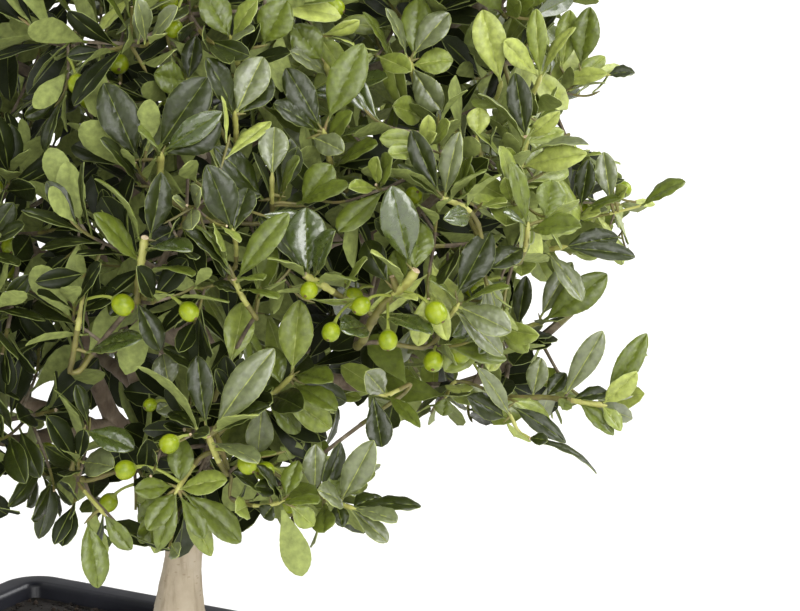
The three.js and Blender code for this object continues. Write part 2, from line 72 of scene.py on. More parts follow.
# Name, direction in degrees, distance and height of the middle, radii along, across and up, and what
# carries it: a height on the trunk, or a share of another bough
CROWN = [
    ("low_front", -50, 74, 85, (50, 54, 34), "trunk", 52),
    ("low_front_left", -108, 80, 90, (48, 54, 36), "trunk", 62),
    ("low_left", -158, 90, 92, (54, 58, 37), "trunk", 54),
    ("low_back_left", 150, 84, 94, (54, 60, 37), "trunk", 67),
    ("low_back_right", 88, 86, 94, (52, 60, 37), "trunk", 59),
    ("low_right", 26, 100, 98, (50, 58, 39), "trunk", 72),
    ("mid_front", -54, 72, 140, (47, 52, 44), "trunk", 100),
    ("mid_front_left", -102, 76, 140, (47, 52, 44), "low_front_left", 0.4),
    ("mid_left", -150, 90, 144, (52, 58, 44), "trunk", 94),
    ("mid_back_left", 158, 84, 142, (50, 58, 44), "low_back_left", 0.4),
    ("mid_back", 98, 76, 142, (50, 60, 44), "low_back_right", 0.4),
    ("mid_right", 40, 100, 144, (54, 58, 44), "trunk", 108),
    ("mid_right_front", -10, 86, 144, (52, 54, 44), "trunk", 88),
    ("high_front", -52, 48, 190, (50, 58, 42), "trunk", 132),
    ("high_right", 24, 78, 191, (54, 58, 43), "trunk", 140),
    ("high_back", 106, 52, 189, (50, 58, 42), "trunk", 148),
    ("high_left", -154, 64, 188, (54, 58, 42), "trunk", 124),
    ("top", 20, 6, 223, (58, 58, 34), "trunk_tip", 0),
]
WITHOUT_FRUIT = ("low_left", "low_back_left", "mid_front", "mid_back_left", "high_left", "top")

# The photograph's view, and what it shows at named pixels of its 800 x 611 frame

VIEW = dict(azimuth=30, elevation=12, distance=850, focal=2889, middle=(400, 305.5), aside=65, height=110.2)
PHOTO = (800, 611)
SENSOR = 36
LENS = VIEW["focal"] / PHOTO[0] * SENSOR

# Bright background seen past the crown: its right and lower side, and the gaps in it
SKY = [
    [
        (601, -20), (602, 40), (606, 60), (636, 60), (636, 82), (612, 86), (592, 94), (578, 102),
        (566, 106), (563, 114), (566, 124), (560, 134), (566, 140), (590, 141), (594, 150), (606, 148),
        (618, 158), (624, 178), (634, 188), (642, 198), (660, 186), (684, 174), (694, 184), (664, 205),
        (640, 213), (622, 219), (628, 234), (641, 256), (632, 265), (608, 268), (609, 280), (602, 298),
        (588, 314), (573, 322), (545, 326), (560, 337), (574, 346), (590, 333), (605, 329), (610, 342),
        (603, 366), (583, 380), (574, 391), (604, 391), (614, 383), (618, 361), (626, 341), (640, 331),
        (650, 333), (650, 352), (642, 378), (640, 404), (626, 431), (614, 441), (591, 428), (575, 411),
        (556, 409), (564, 425), (570, 441), (586, 455), (600, 472), (597, 479), (560, 460), (547, 447),
        (527, 448), (507, 425), (500, 428), (472, 424), (450, 414), (444, 404), (424, 432), (400, 420),
        (392, 452), (374, 446), (362, 404), (348, 404), (336, 436), (352, 470), (372, 440), (384, 470),
        (372, 494), (428, 500), (428, 512), (398, 530), (392, 548), (344, 532), (316, 536), (310, 578),
        (294, 580), (276, 520), (246, 530), (244, 556), (176, 564), (110, 552), (108, 590), (94, 590),
        (94, 700), (900, 700), (900, -20),
    ],
    [(534, 288), (553, 287), (546, 310), (540, 322), (524, 324), (521, 312), (526, 300)],
    [(94, 410), (109, 411), (108, 425), (94, 427)],
    [(117, 412), (129, 411), (127, 425), (119, 426)],
    [(110, 484), (132, 483), (131, 500), (112, 501)],
    [(110, 507), (132, 506), (132, 518), (112, 516)],
    [(592, 192), (604, 191), (608, 201), (597, 204)],
    [(558, 254), (567, 252), (566, 260), (557, 262)],
    [(566, 262), (590, 268), (606, 268), (606, 272), (590, 276), (575, 278), (568, 272)],
    [(549, 342), (566, 352), (562, 372), (552, 368)],
    [(503, 368), (520, 360), (522, 366), (505, 374)],
    [(463, 370), (474, 366), (478, 382), (466, 384)],
    [(512, 410), (538, 428), (528, 432), (514, 418)],
    [(586, 300), (610, 306), (604, 326), (572, 330)],
]

# Sprigs at the front of the crown. Each has the pixels its twig passes, of which the last is its tip;
# leaves as (foot, tip, how far the tip comes forward in mm, turn of the upper side from facing the
# camera in degrees, width in mm, tone), and where it matters how far it bows in mm and its outline,
# from elliptic 0 to obovate 1; berries as (centre, radius in mm, foot of the stalk); and cut stubs.
SPRIGS = {
    "berries": dict(
        path=[(363, 340), (372, 321), (385, 304), (397, 293), (407, 283), (414.5, 272.5)], radius=1.35,
        cut=True,
        leaves=[
            ((410, 267), (392, 186), 2, 6, 10.2, "gloss"),
            ((389, 284), (365, 241.5), -12, 20, 7.9, "dark"),
            ((401, 284), (371, 252), 11, -104, 8, "young"), ((379, 315), (432, 334), 9, 60, 8.5, "gloss"),
            ((370, 327), (341, 330), 5, -45, 8.5, "gloss"), ((411, 270), (420, 222), -6, -10, 8.6, "mid"),
            ((404, 281), (394, 251), -7, 30, 8, "mid"), ((393, 300), (417, 300), 9, 84, 5, "young"),
        ],
        berries=[
            ((361, 306), 2.5, (386, 288)), ((436, 313), 3.0, (400, 292)), ((388, 340.5), 2.6, (390, 303)),
        ],
        stubs=[((395, 290), (393, 279))],
    ),
    "left_of_berries": dict(
        path=[(352, 303), (338, 295), (324, 286), (307, 276.5)], radius=1.05, cut=True, start="berries",
        leaves=[
            ((308, 276), (306, 208), -5, 6, 11.2, "gloss"),
            ((306, 276), (259.6, 217), -3, -60, 9.2, "dark"),
            ((306, 277), (268, 258.5), 9, -106, 9, "bright"),
            ((313, 278), (335, 230.5), 8, 52, 8.5, "gloss"),
            ((343, 296), (366.5, 259), 7, 76, 7.5, "bright"),
            ((316, 282), (355, 280.5), 10, 108, 9, "mid"),
        ],
        berries=[((309, 290.5), 2.4, (322, 285)), ((331, 332), 2.5, (351, 306))],
    ),
    "mid_left": dict(
        path=[(256, 318), (243, 298), (235, 281)], radius=0.8, cut=True,
        leaves=[
            ((231, 274), (185.8, 231), 2, -68, 9, "dark"), ((231, 270), (192.7, 224), -3, -70, 8.5, "mid"),
            ((237, 277), (288.5, 213), -3, 20, 7.6, "mid"), ((236, 281), (263, 279.5), 12, 86, 7, "mid"),
            ((241, 288), (278, 298), 10, 84, 7.5, "mid"), ((240, 292), (213, 284), -2, -65, 8, "dark"),
        ],
    ),
    "far_left": dict(
        path=[(136, 300), (139, 276), (142, 257), (144.5, 240)], radius=1.15, cut=True,
        leaves=[
            ((140, 243), (95, 178.5), 3, -88, 8, "mid", 1.7),
            ((150, 240), (161, 172), -3, -20, 7.6, "dark"), ((141, 263), (94, 213.5), 3, -55, 9, "mid"),
            ((145, 249), (192, 251), 11, 72, 9, "gloss"), ((145, 273), (192, 276), 11, 78, 9, "mid", 1.4),
            ((139, 300), (160, 351), -6, 30, 7, "dark"), ((140, 292), (110, 316), -4, -40, 9, "dark"),
        ],
        berries=[((189, 311.6), 2.6, (152, 292))],
    ),
    "left_edge": dict(
        path=[(70, 372), (74, 350), (78, 326), (84, 300)], radius=0.9,
        leaves=[((86, 352), (142, 338.5), 4, 56, 9.2, "gloss")], berries=[((123, 305), 2.95, (84, 300))],
    ),
    "left_low": dict(
        path=[(72, 470), (76, 450), (82, 436)], radius=0.8,
        leaves=[((84, 430), (134, 449), 5, 30, 8.6, "gloss"), ((82, 462), (113.5, 467), 8, 10, 8.8, "grey")],
    ),
    "left_drop": dict(
        path=[(80, 486), (92, 500), (103, 513)], radius=0.6,
        leaves=[((103, 515), (131.5, 549.7), 2, -10, 5.6, "mid"), ((88, 520), (98, 588), 3, 14, 8, "mid")],
    ),
    "upright_left": dict(
        path=[(214, 400), (222, 382), (230, 366)], radius=0.75,
        leaves=[
            ((230.5, 365), (243.5, 302), -8, -10, 8.2, "bright"),
            ((222, 384), (163, 348), -5, -62, 9, "dark"),
        ],
    ),
    "upright_mid": dict(
        path=[(262, 400), (276, 391), (290, 378)], radius=0.8,
        leaves=[
            ((292, 373), (299.5, 300), -2, 4, 9.2, "bright"),
            ((295, 374), (332.5, 381.5), 12, 48, 8.2, "mid"), ((293, 384), (337, 410), 6, 34, 7.6, "mid"),
            ((272, 397), (303, 409), 11, 24, 8.6, "dark"), ((282, 386), (267, 346), -8, -16, 7, "mid"),
            ((300, 382), (346.5, 401.5), -4, 20, 6.5, "dark"),
            ((278, 394), (331, 428), -9, 20, 8.5, "bright"), ((268, 400), (300, 432), -10, 30, 8.5, "mid"),
            ((262, 404), (258, 452), -12, 10, 8, "grey"),
        ],
    ),
    "rosette": dict(
        path=[(226, 474), (216, 456), (209, 438)], radius=0.9, cut=True,
        leaves=[
            ((203, 434), (137.4, 366.5), 2, -100, 9, "young", 1.4),
            ((206, 427), (197.5, 356), -3, 0, 7.3, "dark"),
            ((213, 430), (274, 348.7), -1, 16, 9.6, "grey"),
            ((214, 430), (257.7, 415), 12, 113, 9.2, "young"),
            ((217, 431), (270, 406.3), 2, 58, 8.8, "dark"), ((213, 441), (258, 463), 11, 68, 8.6, "grey"),
            ((199, 431), (172, 411.5), -9, -62, 8.6, "dark"),
        ],
        berries=[((169, 443.8), 2.6, (196, 429)), ((247, 465), 2.5, (221, 446))],
    ),
    "behind_rosette": dict(
        path=[(184, 420), (178, 408), (172, 394)], radius=0.7, deeper=14,
        leaves=[((170, 389), (163, 354), -2, 8, 7.5, "grey"), ((176, 401), (157, 411.5), 2, -20, 7, "grey")],
        berries=[((150, 405), 1.9, (176, 408))],
    ),
    "low_rosette": dict(
        path=[(196, 462), (186, 476), (177, 490)], radius=0.8, deeper=10,
        leaves=[
            ((179, 490), (226.8, 480), 7, 24, 7.4, "bright"),
            ((175, 493), (147.3, 530), 6, -20, 6.8, "mid"), ((177, 494), (158, 550), 4, -10, 5.8, "mid"),
            ((173, 485.5), (134.7, 490.5), 8, -10, 5.9, "mid"),
            ((180, 495), (204, 538.5), 4, 18, 5.6, "mid"), ((183, 492), (241, 542), -2, 24, 9.3, "mid"),
            ((181, 497), (211.3, 556), -6, 10, 5.8, "bright"), ((177.5, 484), (182, 438), -6, 0, 7, "mid"),
            ((170, 494), (138, 522), -5, -20, 6, "mid"), ((174, 498), (154, 553), -4, -10, 6, "bright"),
            ((164, 498), (141, 543.5), -6, 10, 6, "mid"),
        ],
        berries=[((125, 470), 2.7, (160, 470))],
    ),
    "hanging": dict(
        path=[(233, 501), (254, 505.5), (270, 505), (281, 502)], radius=0.6,
        leaves=[
            ((281, 504), (302, 576), 0, 172, 8.2, "mid", 0, 0.9),
            ((280, 499), (257, 466), 3, -68, 8, "dark"), ((284, 503), (318, 503), 8, 66, 8.6, "mid"),
            ((285, 498), (298.5, 460.5), -5, 20, 6, "mid"), ((270, 498), (233, 473), 4, -66, 8, "dark"),
            ((274, 503), (263.5, 518), -2, -10, 5.5, "dark"),
            ((290, 505), (314, 526), -3, 10, 6, "bright"),
        ],
    ),
    "low_right_front": dict(
        path=[(306, 490), (318, 495), (331, 501), (343, 505), (352, 508)], radius=0.65, toward=92,
        leaves=[
            ((341, 500), (373.5, 441), 6, -8, 8.2, "grey"), ((346, 504), (318, 490), 9, -58, 8, "grey"),
            ((354, 509), (396.5, 522), 8, 62, 8.8, "grey"), ((356, 507), (421, 506), -3, 68, 9.5, "dark"),
            ((347, 510), (387.7, 542), 4, 28, 5.6, "grey", 0, 0.9),
            ((314, 494), (315.6, 444.5), -6, -10, 6.9, "grey"),
            ((324, 503), (324, 532), 9, -16, 6.8, "mid", 0, 0.9),
            ((330, 500), (341, 470), -8, -10, 6.5, "mid"),
            ((322, 496), (340.5, 442), -8, -30, 6.5, "dark"), ((335, 505), (343, 527), 2, 20, 5, "dark"),
            ((352, 505), (382, 497), -6, 60, 8, "dark"),
        ],
    ),
    "upper_mid": dict(
        path=[(482, 240), (477, 222), (466, 208), (455, 203), (444, 199)], radius=0.8, cut=True,
        leaves=[
            ((445, 195), (459.5, 132), 2, 24, 6.3, "grey"),
            ((439, 193), (411.5, 130), -3, 18, 6.7, "dark"), ((440, 197), (388, 169), 5, -110, 9, "mid"),
            ((441, 196), (397.5, 165), 2, -62, 8, "dark"), ((449, 197), (485, 171), 9, 108, 9, "mid"),
            ((464, 206), (501, 174.5), 3, 106, 9, "mid"), ((474, 213), (444, 219), 12, -10, 5.6, "gloss"),
        ],
    ),
    "right_mid": dict(
        path=[(436, 340), (447, 320), (457, 306)], radius=0.8,
        leaves=[
            ((460, 307), (511, 331.5), 6, 14, 8.6, "grey"), ((462, 303), (509, 287.5), 6, 74, 8.8, "mid"),
            ((456, 303), (430, 280), 12, -82, 8.4, "mid"), ((458, 312), (502.5, 355), -2, 20, 6.6, "grey"),
            ((456, 296), (490.5, 231.8), -6, -14, 9, "dark"),
        ],
    ),
    "right_narrow": dict(
        path=[(520, 262), (526, 244), (528, 226)], radius=0.8,
        leaves=[
            ((527, 225), (511, 162), 1, -34, 6.4, "mid"), ((546, 220), (552, 180), -3, -6, 8.4, "mid"),
            ((524, 226), (503.7, 213), 6, -78, 7, "gloss"), ((532, 230), (581, 226.5), 8, 48, 8.8, "mid"),
            ((522, 246), (492, 268), 8, -30, 7.5, "dark"),
        ],
    ),
    "right_tip": dict(
        path=[(556, 228), (572, 220), (604, 215), (640, 206)], radius=0.6, tip=0.35, toward=18,
        leaves=[
            ((640, 206), (685.3, 181.5), 2, 60, 9, "mid"),
            ((580.5, 208), (588.7, 159.4), -3, 2, 6, "dark"),
            ((611, 203), (603.5, 152), -4, 6, 6.6, "grey"), ((578, 214), (626, 196.5), 4, 68, 8.4, "mid"),
            ((615, 200), (627, 187.5), 6, 40, 5, "young"), ((574, 219), (600, 213), 5, 60, 6, "young"),
        ],
    ),
    "right_long": dict(
        path=[(524, 252), (545, 250), (563, 247)], radius=0.8, toward=22,
        leaves=[
            ((565, 248), (635.2, 256.7), 0, 20, 6.2, "dark"),
            ((563, 245), (618.5, 237), -3, 10, 7.4, "dark"), ((547, 252), (582, 301), 6, 40, 7.6, "grey"),
        ],
    ),
    "right_round": dict(
        path=[(505, 330), (525, 327), (542.5, 322)], radius=0.8, toward=8,
        leaves=[
            ((543, 321), (607, 274), 0, -4, 9.8, "mid"), ((540, 318), (572, 262), -4, 10, 7, "grey"),
            ((518, 328), (526, 276), -4, 14, 5.8, "dark"),
        ],
    ),
    "right_low": dict(
        path=[(515, 397.5), (547, 397.5), (567, 400), (602, 405)], radius=0.9, toward=26,
        leaves=[
            ((562, 398), (602.5, 331), 0, -2, 7.6, "grey"),
            ((605, 402), (646.7, 333.5), -2, -6, 7.2, "mid"),
            ((604, 406), (636.7, 371.7), 6, -20, 6.8, "young"),
            ((578, 402), (614, 435), 2, 28, 5.6, "mid"), ((602, 406), (621, 431), 3, 20, 5, "bright"),
            ((533, 396), (541, 358), -5, 0, 6.6, "grey"), ((545, 398), (566, 373), -8, 10, 5.5, "dark"),
            ((570, 399), (609, 393), -3, 50, 6, "dark"),
        ],
    ),
    "right_drip": dict(
        path=[(500, 404), (510, 415), (519, 432), (528, 437.5)], radius=0.6, cut=True, toward=44,
        leaves=[
            ((528, 435), (596.7, 473.3), 0, 70, 8, "dark", 1.6),
            ((511, 405), (566, 442.5), -2, 18, 5.6, "dark"),
            ((510, 418), (478.3, 368.3), 6, -18, 5.4, "grey"),
            ((507, 419), (467, 397), 3, -20, 7.4, "dark"), ((530, 434), (548, 440.5), 3, 20, 4, "dark"),
        ],
    ),
    "notch": dict(
        path=[(410, 384), (398, 390), (386, 395), (372, 391)], radius=0.7, toward=78,
        leaves=[
            ((371, 392), (382, 447), 4, 2, 7.5, "dark", 0, 0.9),
            ((388, 397), (420, 427), 9, 20, 4.3, "mid"),
            ((386, 396), (366, 372), 15, -4, 7.6, "grey", 0, 0.6),
        ],
    ),
    "branch_drop": dict(
        path=[(452, 384), (449, 390), (446, 396)], radius=0.6,
        leaves=[((446, 397), (443, 416), 0, 0, 5.5, "mid")],
    ),
    "top_bright": dict(
        path=[(528, 104), (534, 92), (540, 78)], radius=0.75,
        leaves=[
            ((540, 74), (536, 9), 0, 10, 6.0, "bright"),
            ((538, 76), (504, 41), 8, -16, 7, "young", 0, 0.9),
            ((542, 76), (575.3, 27.3), 4, 74, 9, "young"),
        ],
    ),
    "top_left": dict(
        path=[(494, 104), (498, 94), (501, 84)], radius=0.7, deeper=4,
        leaves=[((501, 83), (482.5, 10), 0, -4, 9.4, "young")],
    ),
    "top_right": dict(
        path=[(546, 92), (562, 84), (580, 76), (606, 75)], radius=0.6, deeper=8,
        leaves=[
            ((606, 76), (635, 72.5), 0, 50, 6.6, "dark"), ((552, 84), (607, 73.5), 2, 30, 6, "young"),
            ((580, 68), (590, 7), -3, 0, 8.6, "mid"), ((562, 70), (570, 10), -5, -10, 7.5, "bright"),
        ],
    ),
    "upper_right": dict(
        path=[(514, 184), (520, 168), (524, 152), (526, 139)], radius=0.9, cut=True, toward=62,
        leaves=[
            ((528, 137), (559.4, 111.5), 8, -12, 5.0, "young"),
            ((523, 139), (478.5, 93.7), 3, -88, 9, "grey"), ((525, 137), (515, 73), -3, 6, 7.2, "dark"),
            ((524, 153), (588.5, 144.5), 3, 84, 9, "grey", 1.2),
            ((523, 168), (586.7, 153.3), 4, 24, 7.2, "young"),
            ((528, 144), (564, 131), -6, 20, 6, "bright"), ((509, 172), (471.4, 128), 2, -86, 8, "bright"),
        ],
    ),
    "upper_right_back": dict(
        path=[(484, 166), (480, 152), (477, 139)], radius=0.7, deeper=6,
        leaves=[((477, 138), (479, 107.7), -2, 0, 6.6, "young"), ((490, 158), (496, 127), 2, 80, 5, "grey")],
    ),
    "upper_left": dict(
        path=[(158, 190), (160, 174), (161, 156)], radius=1.0,
        leaves=[
            ((157, 151), (207, 77.5), -2, 6, 11.2, "dark"), ((163, 151), (222, 112), 3, 8, 6.6, "gloss"),
            ((164, 155), (220, 121), -3, -10, 10.4, "dark"), ((138, 160), (104, 83), -4, -6, 10.6, "dark"),
            ((160, 156), (139, 131), 12, -80, 8, "mid"), ((141, 186), (100.5, 139), 6, -66, 8.8, "dark"),
        ],
    ),
    "upper_left_back": dict(
        path=[(200, 106), (194, 94), (188, 82)], radius=0.7, deeper=14,
        leaves=[((186, 80), (154, 74), 3, -10, 8.2, "mid"), ((190, 80), (196, 36), -3, 10, 6, "dark")],
    ),
    "upper_middle_left": dict(
        path=[(236, 150), (236, 132), (235, 115)], radius=0.8,
        leaves=[
            ((236, 114), (263, 57), -4, 4, 9.8, "grey"), ((240, 114), (271, 78), -8, 20, 9, "dark"),
            ((233, 118), (206, 58), 3, -52, 9, "dark"),
        ],
    ),
    "upper_back_left": dict(
        path=[(240, 72), (235, 54), (231, 39)], radius=0.8, deeper=12,
        leaves=[
            ((231, 38), (257, 0), 3, 40, 7, "bright"), ((229, 36), (204, -8), -2, -10, 9, "mid"),
            ((222, 48), (254, 30), 6, 74, 8, "grey"), ((262, 46), (287, 0), -4, 6, 10, "mid"),
        ],
    ),
    "upper_back_middle": dict(
        path=[(336, 92), (331, 80), (326, 66)], radius=0.8, deeper=12,
        leaves=[((324, 62), (293, 25), 0, 0, 9, "mid"), ((327, 78), (290, 51), 4, -62, 8, "grey")],
    ),
    "upper_middle": dict(
        path=[(334, 176), (328, 154), (324, 133)], radius=0.9,
        leaves=[
            ((321, 128), (286, 68), -2, -12, 8.2, "dark"),
            ((318, 131), (273.5, 103.5), 4, -44, 8.4, "dark"),
            ((327, 122), (363, 43.5), -4, 12, 10, "mid"), ((328, 142), (352, 112), 4, 40, 7, "mid"),
            ((312, 137), (343.5, 151.5), 8, 20, 7, "grey"), ((332, 167), (377, 144), 6, 66, 8.6, "mid"),
        ],
    ),
    "upper_back_right": dict(
        path=[(424, 122), (417, 92), (410, 62)], radius=0.8, deeper=12,
        leaves=[
            ((408, 58), (386, 8), 2, -72, 7, "grey"), ((412, 56), (449, 13), 0, 30, 8.5, "grey"),
            ((414, 60), (419, -2), -6, 0, 9, "mid"), ((411, 66), (441, 110), 4, -20, 9, "grey"),
            ((414, 64), (453, 60), 2, 30, 8, "bright"), ((391, 60), (363, 12), -2, -76, 8, "mid"),
            ((426, 118), (393, 106), 6, -30, 8.5, "bright"),
        ],
    ),
    "middle_left_front": dict(
        path=[(272, 214), (272, 196), (272, 177)], radius=0.7,
        leaves=[
            ((271.5, 176), (274.5, 127), -5, 4, 8.2, "grey"), ((264, 200), (214, 147), 1, -30, 9, "dark"),
            ((280, 196), (299, 159.5), 9, 66, 8.6, "mid"), ((296, 204), (348, 186), 4, 60, 9, "mid"),
            ((300, 206), (332, 165), -6, 20, 9, "mid"),
        ],
    ),
    "middle_left_back": dict(
        path=[(236, 262), (236, 246), (233, 232)], radius=0.7,
        leaves=[((232, 228), (207, 165), 0, -10, 9.5, "dark"), ((236, 232), (248, 188), -6, 24, 8, "dark")],
    ),
}

# Sizes of what grows

LEAF = dict(
    petiole=0.1, petiole_half=0.1, least_half=0.26, thickness=0.28, petiole_thick=1.6, under=1.15,
    rim=0.1, rim_share=0.6, rib=0.17, rib_taper=0.62, rib_share=0.3, rib_sunk=0.06, toothed=(0.25, 0.97),
    lengths=(17.0, 22.5), width_share=(0.38, 0.48),
    # half width of the blade along it, as shares of its length and of its greatest half width
    elliptic=[
        (0, 0.1), (0.1, 0.34), (0.22, 0.63), (0.36, 0.88), (0.5, 1), (0.62, 0.98), (0.76, 0.84), (0.88, 0.59),
        (0.95, 0.37), (1, 0.07),
    ],
    obovate=[
        (0, 0.1), (0.12, 0.25), (0.25, 0.46), (0.4, 0.73), (0.55, 0.93), (0.67, 1), (0.79, 0.94),
        (0.89, 0.72), (0.96, 0.44), (1, 0.08),
    ],
    veins=6.5, vein_slant=0.2, bulge=0.4, full_bulge=5, quilt=0.16, full_quilt=4.2, mottle=0.03,
    waves=(61, 23), arch=0.06, bow=4, fold_fade=0.35, ripple=0.16, ripples=21,
    # the ranges that each leaf's form and place on its twig are drawn from
    fold=(0.04, 0.36), curl=(-0.02, 0.13), twist=(-14, 14), shape=(-0.15, 0.85),
    turn_jitter=(-12, 12), lean_jitter=(-9, 9), lift=(0.25, 0.9), tilt=(-0.35, 0.35),
    first_lean=16, lean_step=8.5, lean_most=66, golden=137.5, upward=0.12, first_sizes=(0.62, 0.8, 0.94),
    steps=(0.8, 1.3, 1.8, 2.4, 3.2, 4.2, 5.2, 6.0, 6.0), bare_base=0.2,
    tries=((1, 0), (0.92, 28), (0.92, -28), (0.8, 55), (0.8, -55), (0.68, 0)),
    overlap=9, space=1.08, seat=0.6,
)
TWIG = dict(
    young=8, young_wood=32, shortest=9, clear_after=3.5, least_kept=0.12, curve=0.35, stray=0.12, swing=0.3,
    forks=(2, 3, 4, 5), per_fork=0.15, fork_radius=0.9, ring=0.9, knob=0.26, knob_width=0.55,
    cut_end=(0.8, 1.02), bud=(1.6, 0.25),
)
# Twigs that each mass sends out, rule by rule: their number, the tries and the candidates for each, where
# in the mass their tips lie, the room that a tip needs, how they bend up, and how many of them are cut
SHOOTING = dict(
    main=dict(
        count=8, tries=24, candidates=16, near=0.4, far=0.78, room=0, radius=0.85, tip_radius=0.6, bend=0.12,
        cut=0.5,
    ),
    fine=dict(
        count=46, tries=150, candidates=14, near=0.35, far=0.88, room=7.5, radius=0.55, tip_radius=0.4,
        bend=0.45, cut=0.45,
    ),
    inner=dict(
        count=12, tries=45, candidates=8, near=0.08, far=0.6, room=7.5, radius=0.55, tip_radius=0.4,
        bend=0.3, cut=0,
    ),
)
# Front sprigs: how far a twig runs back, the longest gap that a leaf's own foot bridges, the longest
# side shoot, and how a leaf bows, as a share of its length
FRONT = dict(
    fall=7, on_twig=1.2, side_shoot=8, shoot_radius=0.45, bow=0.035, berry_forward=5, young=0.55,
    shoot_young=0.4, radii=(0.76, 0.82, 0.84), thin_tip=0.92, shape=(-0.35, 0.4),
)
# How much of the sun comes with height, and from where over how far in mm; the same for the way aside.
# The leaves' tones follow it: lighter toward the crown's top and right, and darker toward its left, partly
# as the plant's sun leaves and partly as painted light and shade
SUN = dict(high=0.25, height=120, aside=0.75, reach=110, start=80)
# A sprig's size and its chance of a flush; its tone, by shares of all of them and what full sun adds to
# each, and of what is then left, by its level in the shade and what full sun adds. The shade and dark
# tones dealt out away from the sun are painted shade on that side of the crown, and the lighter ones
# toward it partly painted light
SPRIG = dict(
    vigour=(0.88, 1.06), flush=(0.05, 0.55),
    shares=(("young", 0, 0.22), ("bright", 0.01, 0.56), ("grey", 0.1, 0), ("gloss", 0.08, 0)),
    below=(("shade", 0.45, -1.5), ("dark", 0.78, -1.25)),
)
# Leaves this far inside the crown take the shade tone, and short of that a darker tone and no young ones,
# in mm, and how much farther in that starts on the sunny side. These darker tones are painted shade of
# the crown's inside, partly also the older, darker leaves there
DEPTH = dict(shaded=13, grown=6, sunny=11, plain=12)
# Leaves that close gaps which the photograph doesn't show: how far apart the places that are tried lie
# in pixels, the left edge of the photograph, how far toward the camera they are sought, how far the
# wood may be and is best, where on its length a leaf passes the gap, and its width as a share
CLOSE = dict(
    step=4, left=94, depths=range(66, -70, -6), reach=(6, 13), best=11, share=0.6, width_share=(0.42, 0.5),
    tries=12, per_depth=4, bare_below=545,
)
BERRY = dict(
    radius=(2.4, 3.0), stalk=6.5, stalk_radius=0.42, share=0.09, second=0.4, back=(6, 16), droop=0.35,
    turns=(0, 70, 140, 210, 280), space=0.98, overlap=4,
)
# Room that is kept between things, in mm
ROOM = dict(limb=0.6, wood=0.2, leaf_over_berry=0.3, berry_over_leaf=0.4, berries=0.3, berry_wood=0.4)
UP = np.array([0.0, 0.0, 1.0])


# Vectors and seeded draws

def vec(*values):
    return np.array(values, float)


def unit(v):
    return v / max(float(np.linalg.norm(v)), 1e-9)


def seeded(seed):
    state = seed & 0xFFFFFFFF

    def draw():
        nonlocal state
        state = (state + 0x6D2B79F5) & 0xFFFFFFFF
        mixed = ((state ^ (state >> 15)) * (state | 1)) & 0xFFFFFFFF
        mixed ^= (mixed + (((mixed ^ (mixed >> 7)) * (mixed | 61)) & 0xFFFFFFFF)) & 0xFFFFFFFF
        return (mixed ^ (mixed >> 14)) / 4294967296

    return draw


def between(draw, low, high):
    return low + (high - low) * draw()


def turned(v, axis, degrees):
    """v turned about a unit axis."""
    a = math.radians(degrees)
    return v * math.cos(a) + np.cross(axis, v) * math.sin(a) + axis * float(v @ axis) * (1 - math.cos(a))


def square_to(v, axis):
    """The part of v square to a unit axis, at unit length."""
    flat = v - axis * float(v @ axis)
    if np.linalg.norm(flat) < 1e-6:
        flat = np.cross(axis, vec(0.3, 0.9, 0.1))
    return unit(flat)


# The photograph's view

AZ, EL = math.radians(VIEW["azimuth"]), math.radians(VIEW["elevation"])
ASIDE = vec(math.cos(AZ), math.sin(AZ), 0)
TOWARD = vec(math.sin(AZ), -math.cos(AZ), 0)
BACK = TOWARD * math.cos(EL) + UP * math.sin(EL)
RAISED = np.cross(BACK, ASIDE)
FOOT = vec(TRUNK["foot"][0], TRUNK["foot"][1], SOIL_TOP + CLEARANCE)
AIM = FOOT + ASIDE * VIEW["aside"] + UP * VIEW["height"]
EYE = AIM + BACK * VIEW["distance"]


def pixels(points):
    """Pixels of the photograph and distance from the camera's plane, of an array of points."""
    offset = np.asarray(points, float) - EYE
    depth = -(offset @ BACK)
    x = VIEW["middle"][0] + VIEW["focal"] * (offset @ ASIDE) / depth
    y = VIEW["middle"][1] - VIEW["focal"] * (offset @ RAISED) / depth
    return x, y, depth


def at_pixel(pixel, toward):
    """The point seen at a pixel, so many mm nearer than the trunk's upright plane."""
    ray = (
        -BACK
        + ASIDE * (pixel[0] - VIEW["middle"][0]) / VIEW["focal"]
        - RAISED * (pixel[1] - VIEW["middle"][1]) / VIEW["focal"]
    )
    reach = (toward - float((EYE - FOOT) @ TOWARD)) / float(ray @ TOWARD)
    return EYE + ray * reach


def inside(polygon, x, y):
    """Even-odd test of arrays of points against a polygon."""
    hit = np.zeros(np.shape(x), bool)
    for (ax, ay), (bx, by) in zip(polygon, polygon[1:] + polygon[:1]):
        if ay == by:
            continue
        across = (ay > y) != (by > y)
        hit ^= across & (x < (bx - ax) * (y - ay) / (by - ay) + ax)
    return hit


GRID_Y, GRID_X = np.mgrid[0:PHOTO[1], 0:PHOTO[0]]
IN_SKY = np.zeros(GRID_X.shape, bool)
for shape in SKY:
    IN_SKY |= inside(shape, GRID_X, GRID_Y)
HELD = np.zeros(GRID_X.shape)  # distance of the nearest front leaf at each pixel, or 0


def seen_mask(points):
    """The part of the photograph's frame round an outline, and the pixels of it that are inside."""
    x, y, _ = pixels(points)
    rows = slice(max(int(y.min()) - 2, 0), max(int(y.max()) + 3, 0))
    columns = slice(max(int(x.min()) - 2, 0), max(int(x.max()) + 3, 0))
    window = (rows, columns)
    return window, inside(list(zip(x, y)), GRID_X[window], GRID_Y[window])


def hold(points):
    """Keeps what shows of a front leaf or berry from being hidden by what grows later."""
    window, mask = seen_mask(points)
    if mask.size == 0:
        return
    grown = mask.copy()
    grown[1:] |= mask[:-1]
    grown[:-1] |= mask[1:]
    grown[:, 1:] |= mask[:, :-1]
    grown[:, :-1] |= mask[:, 1:]
    nearest = pixels(points)[2].min() - 1
    held = HELD[window]
    held[grown] = np.where(held[grown] > 0, np.minimum(held[grown], nearest), nearest)


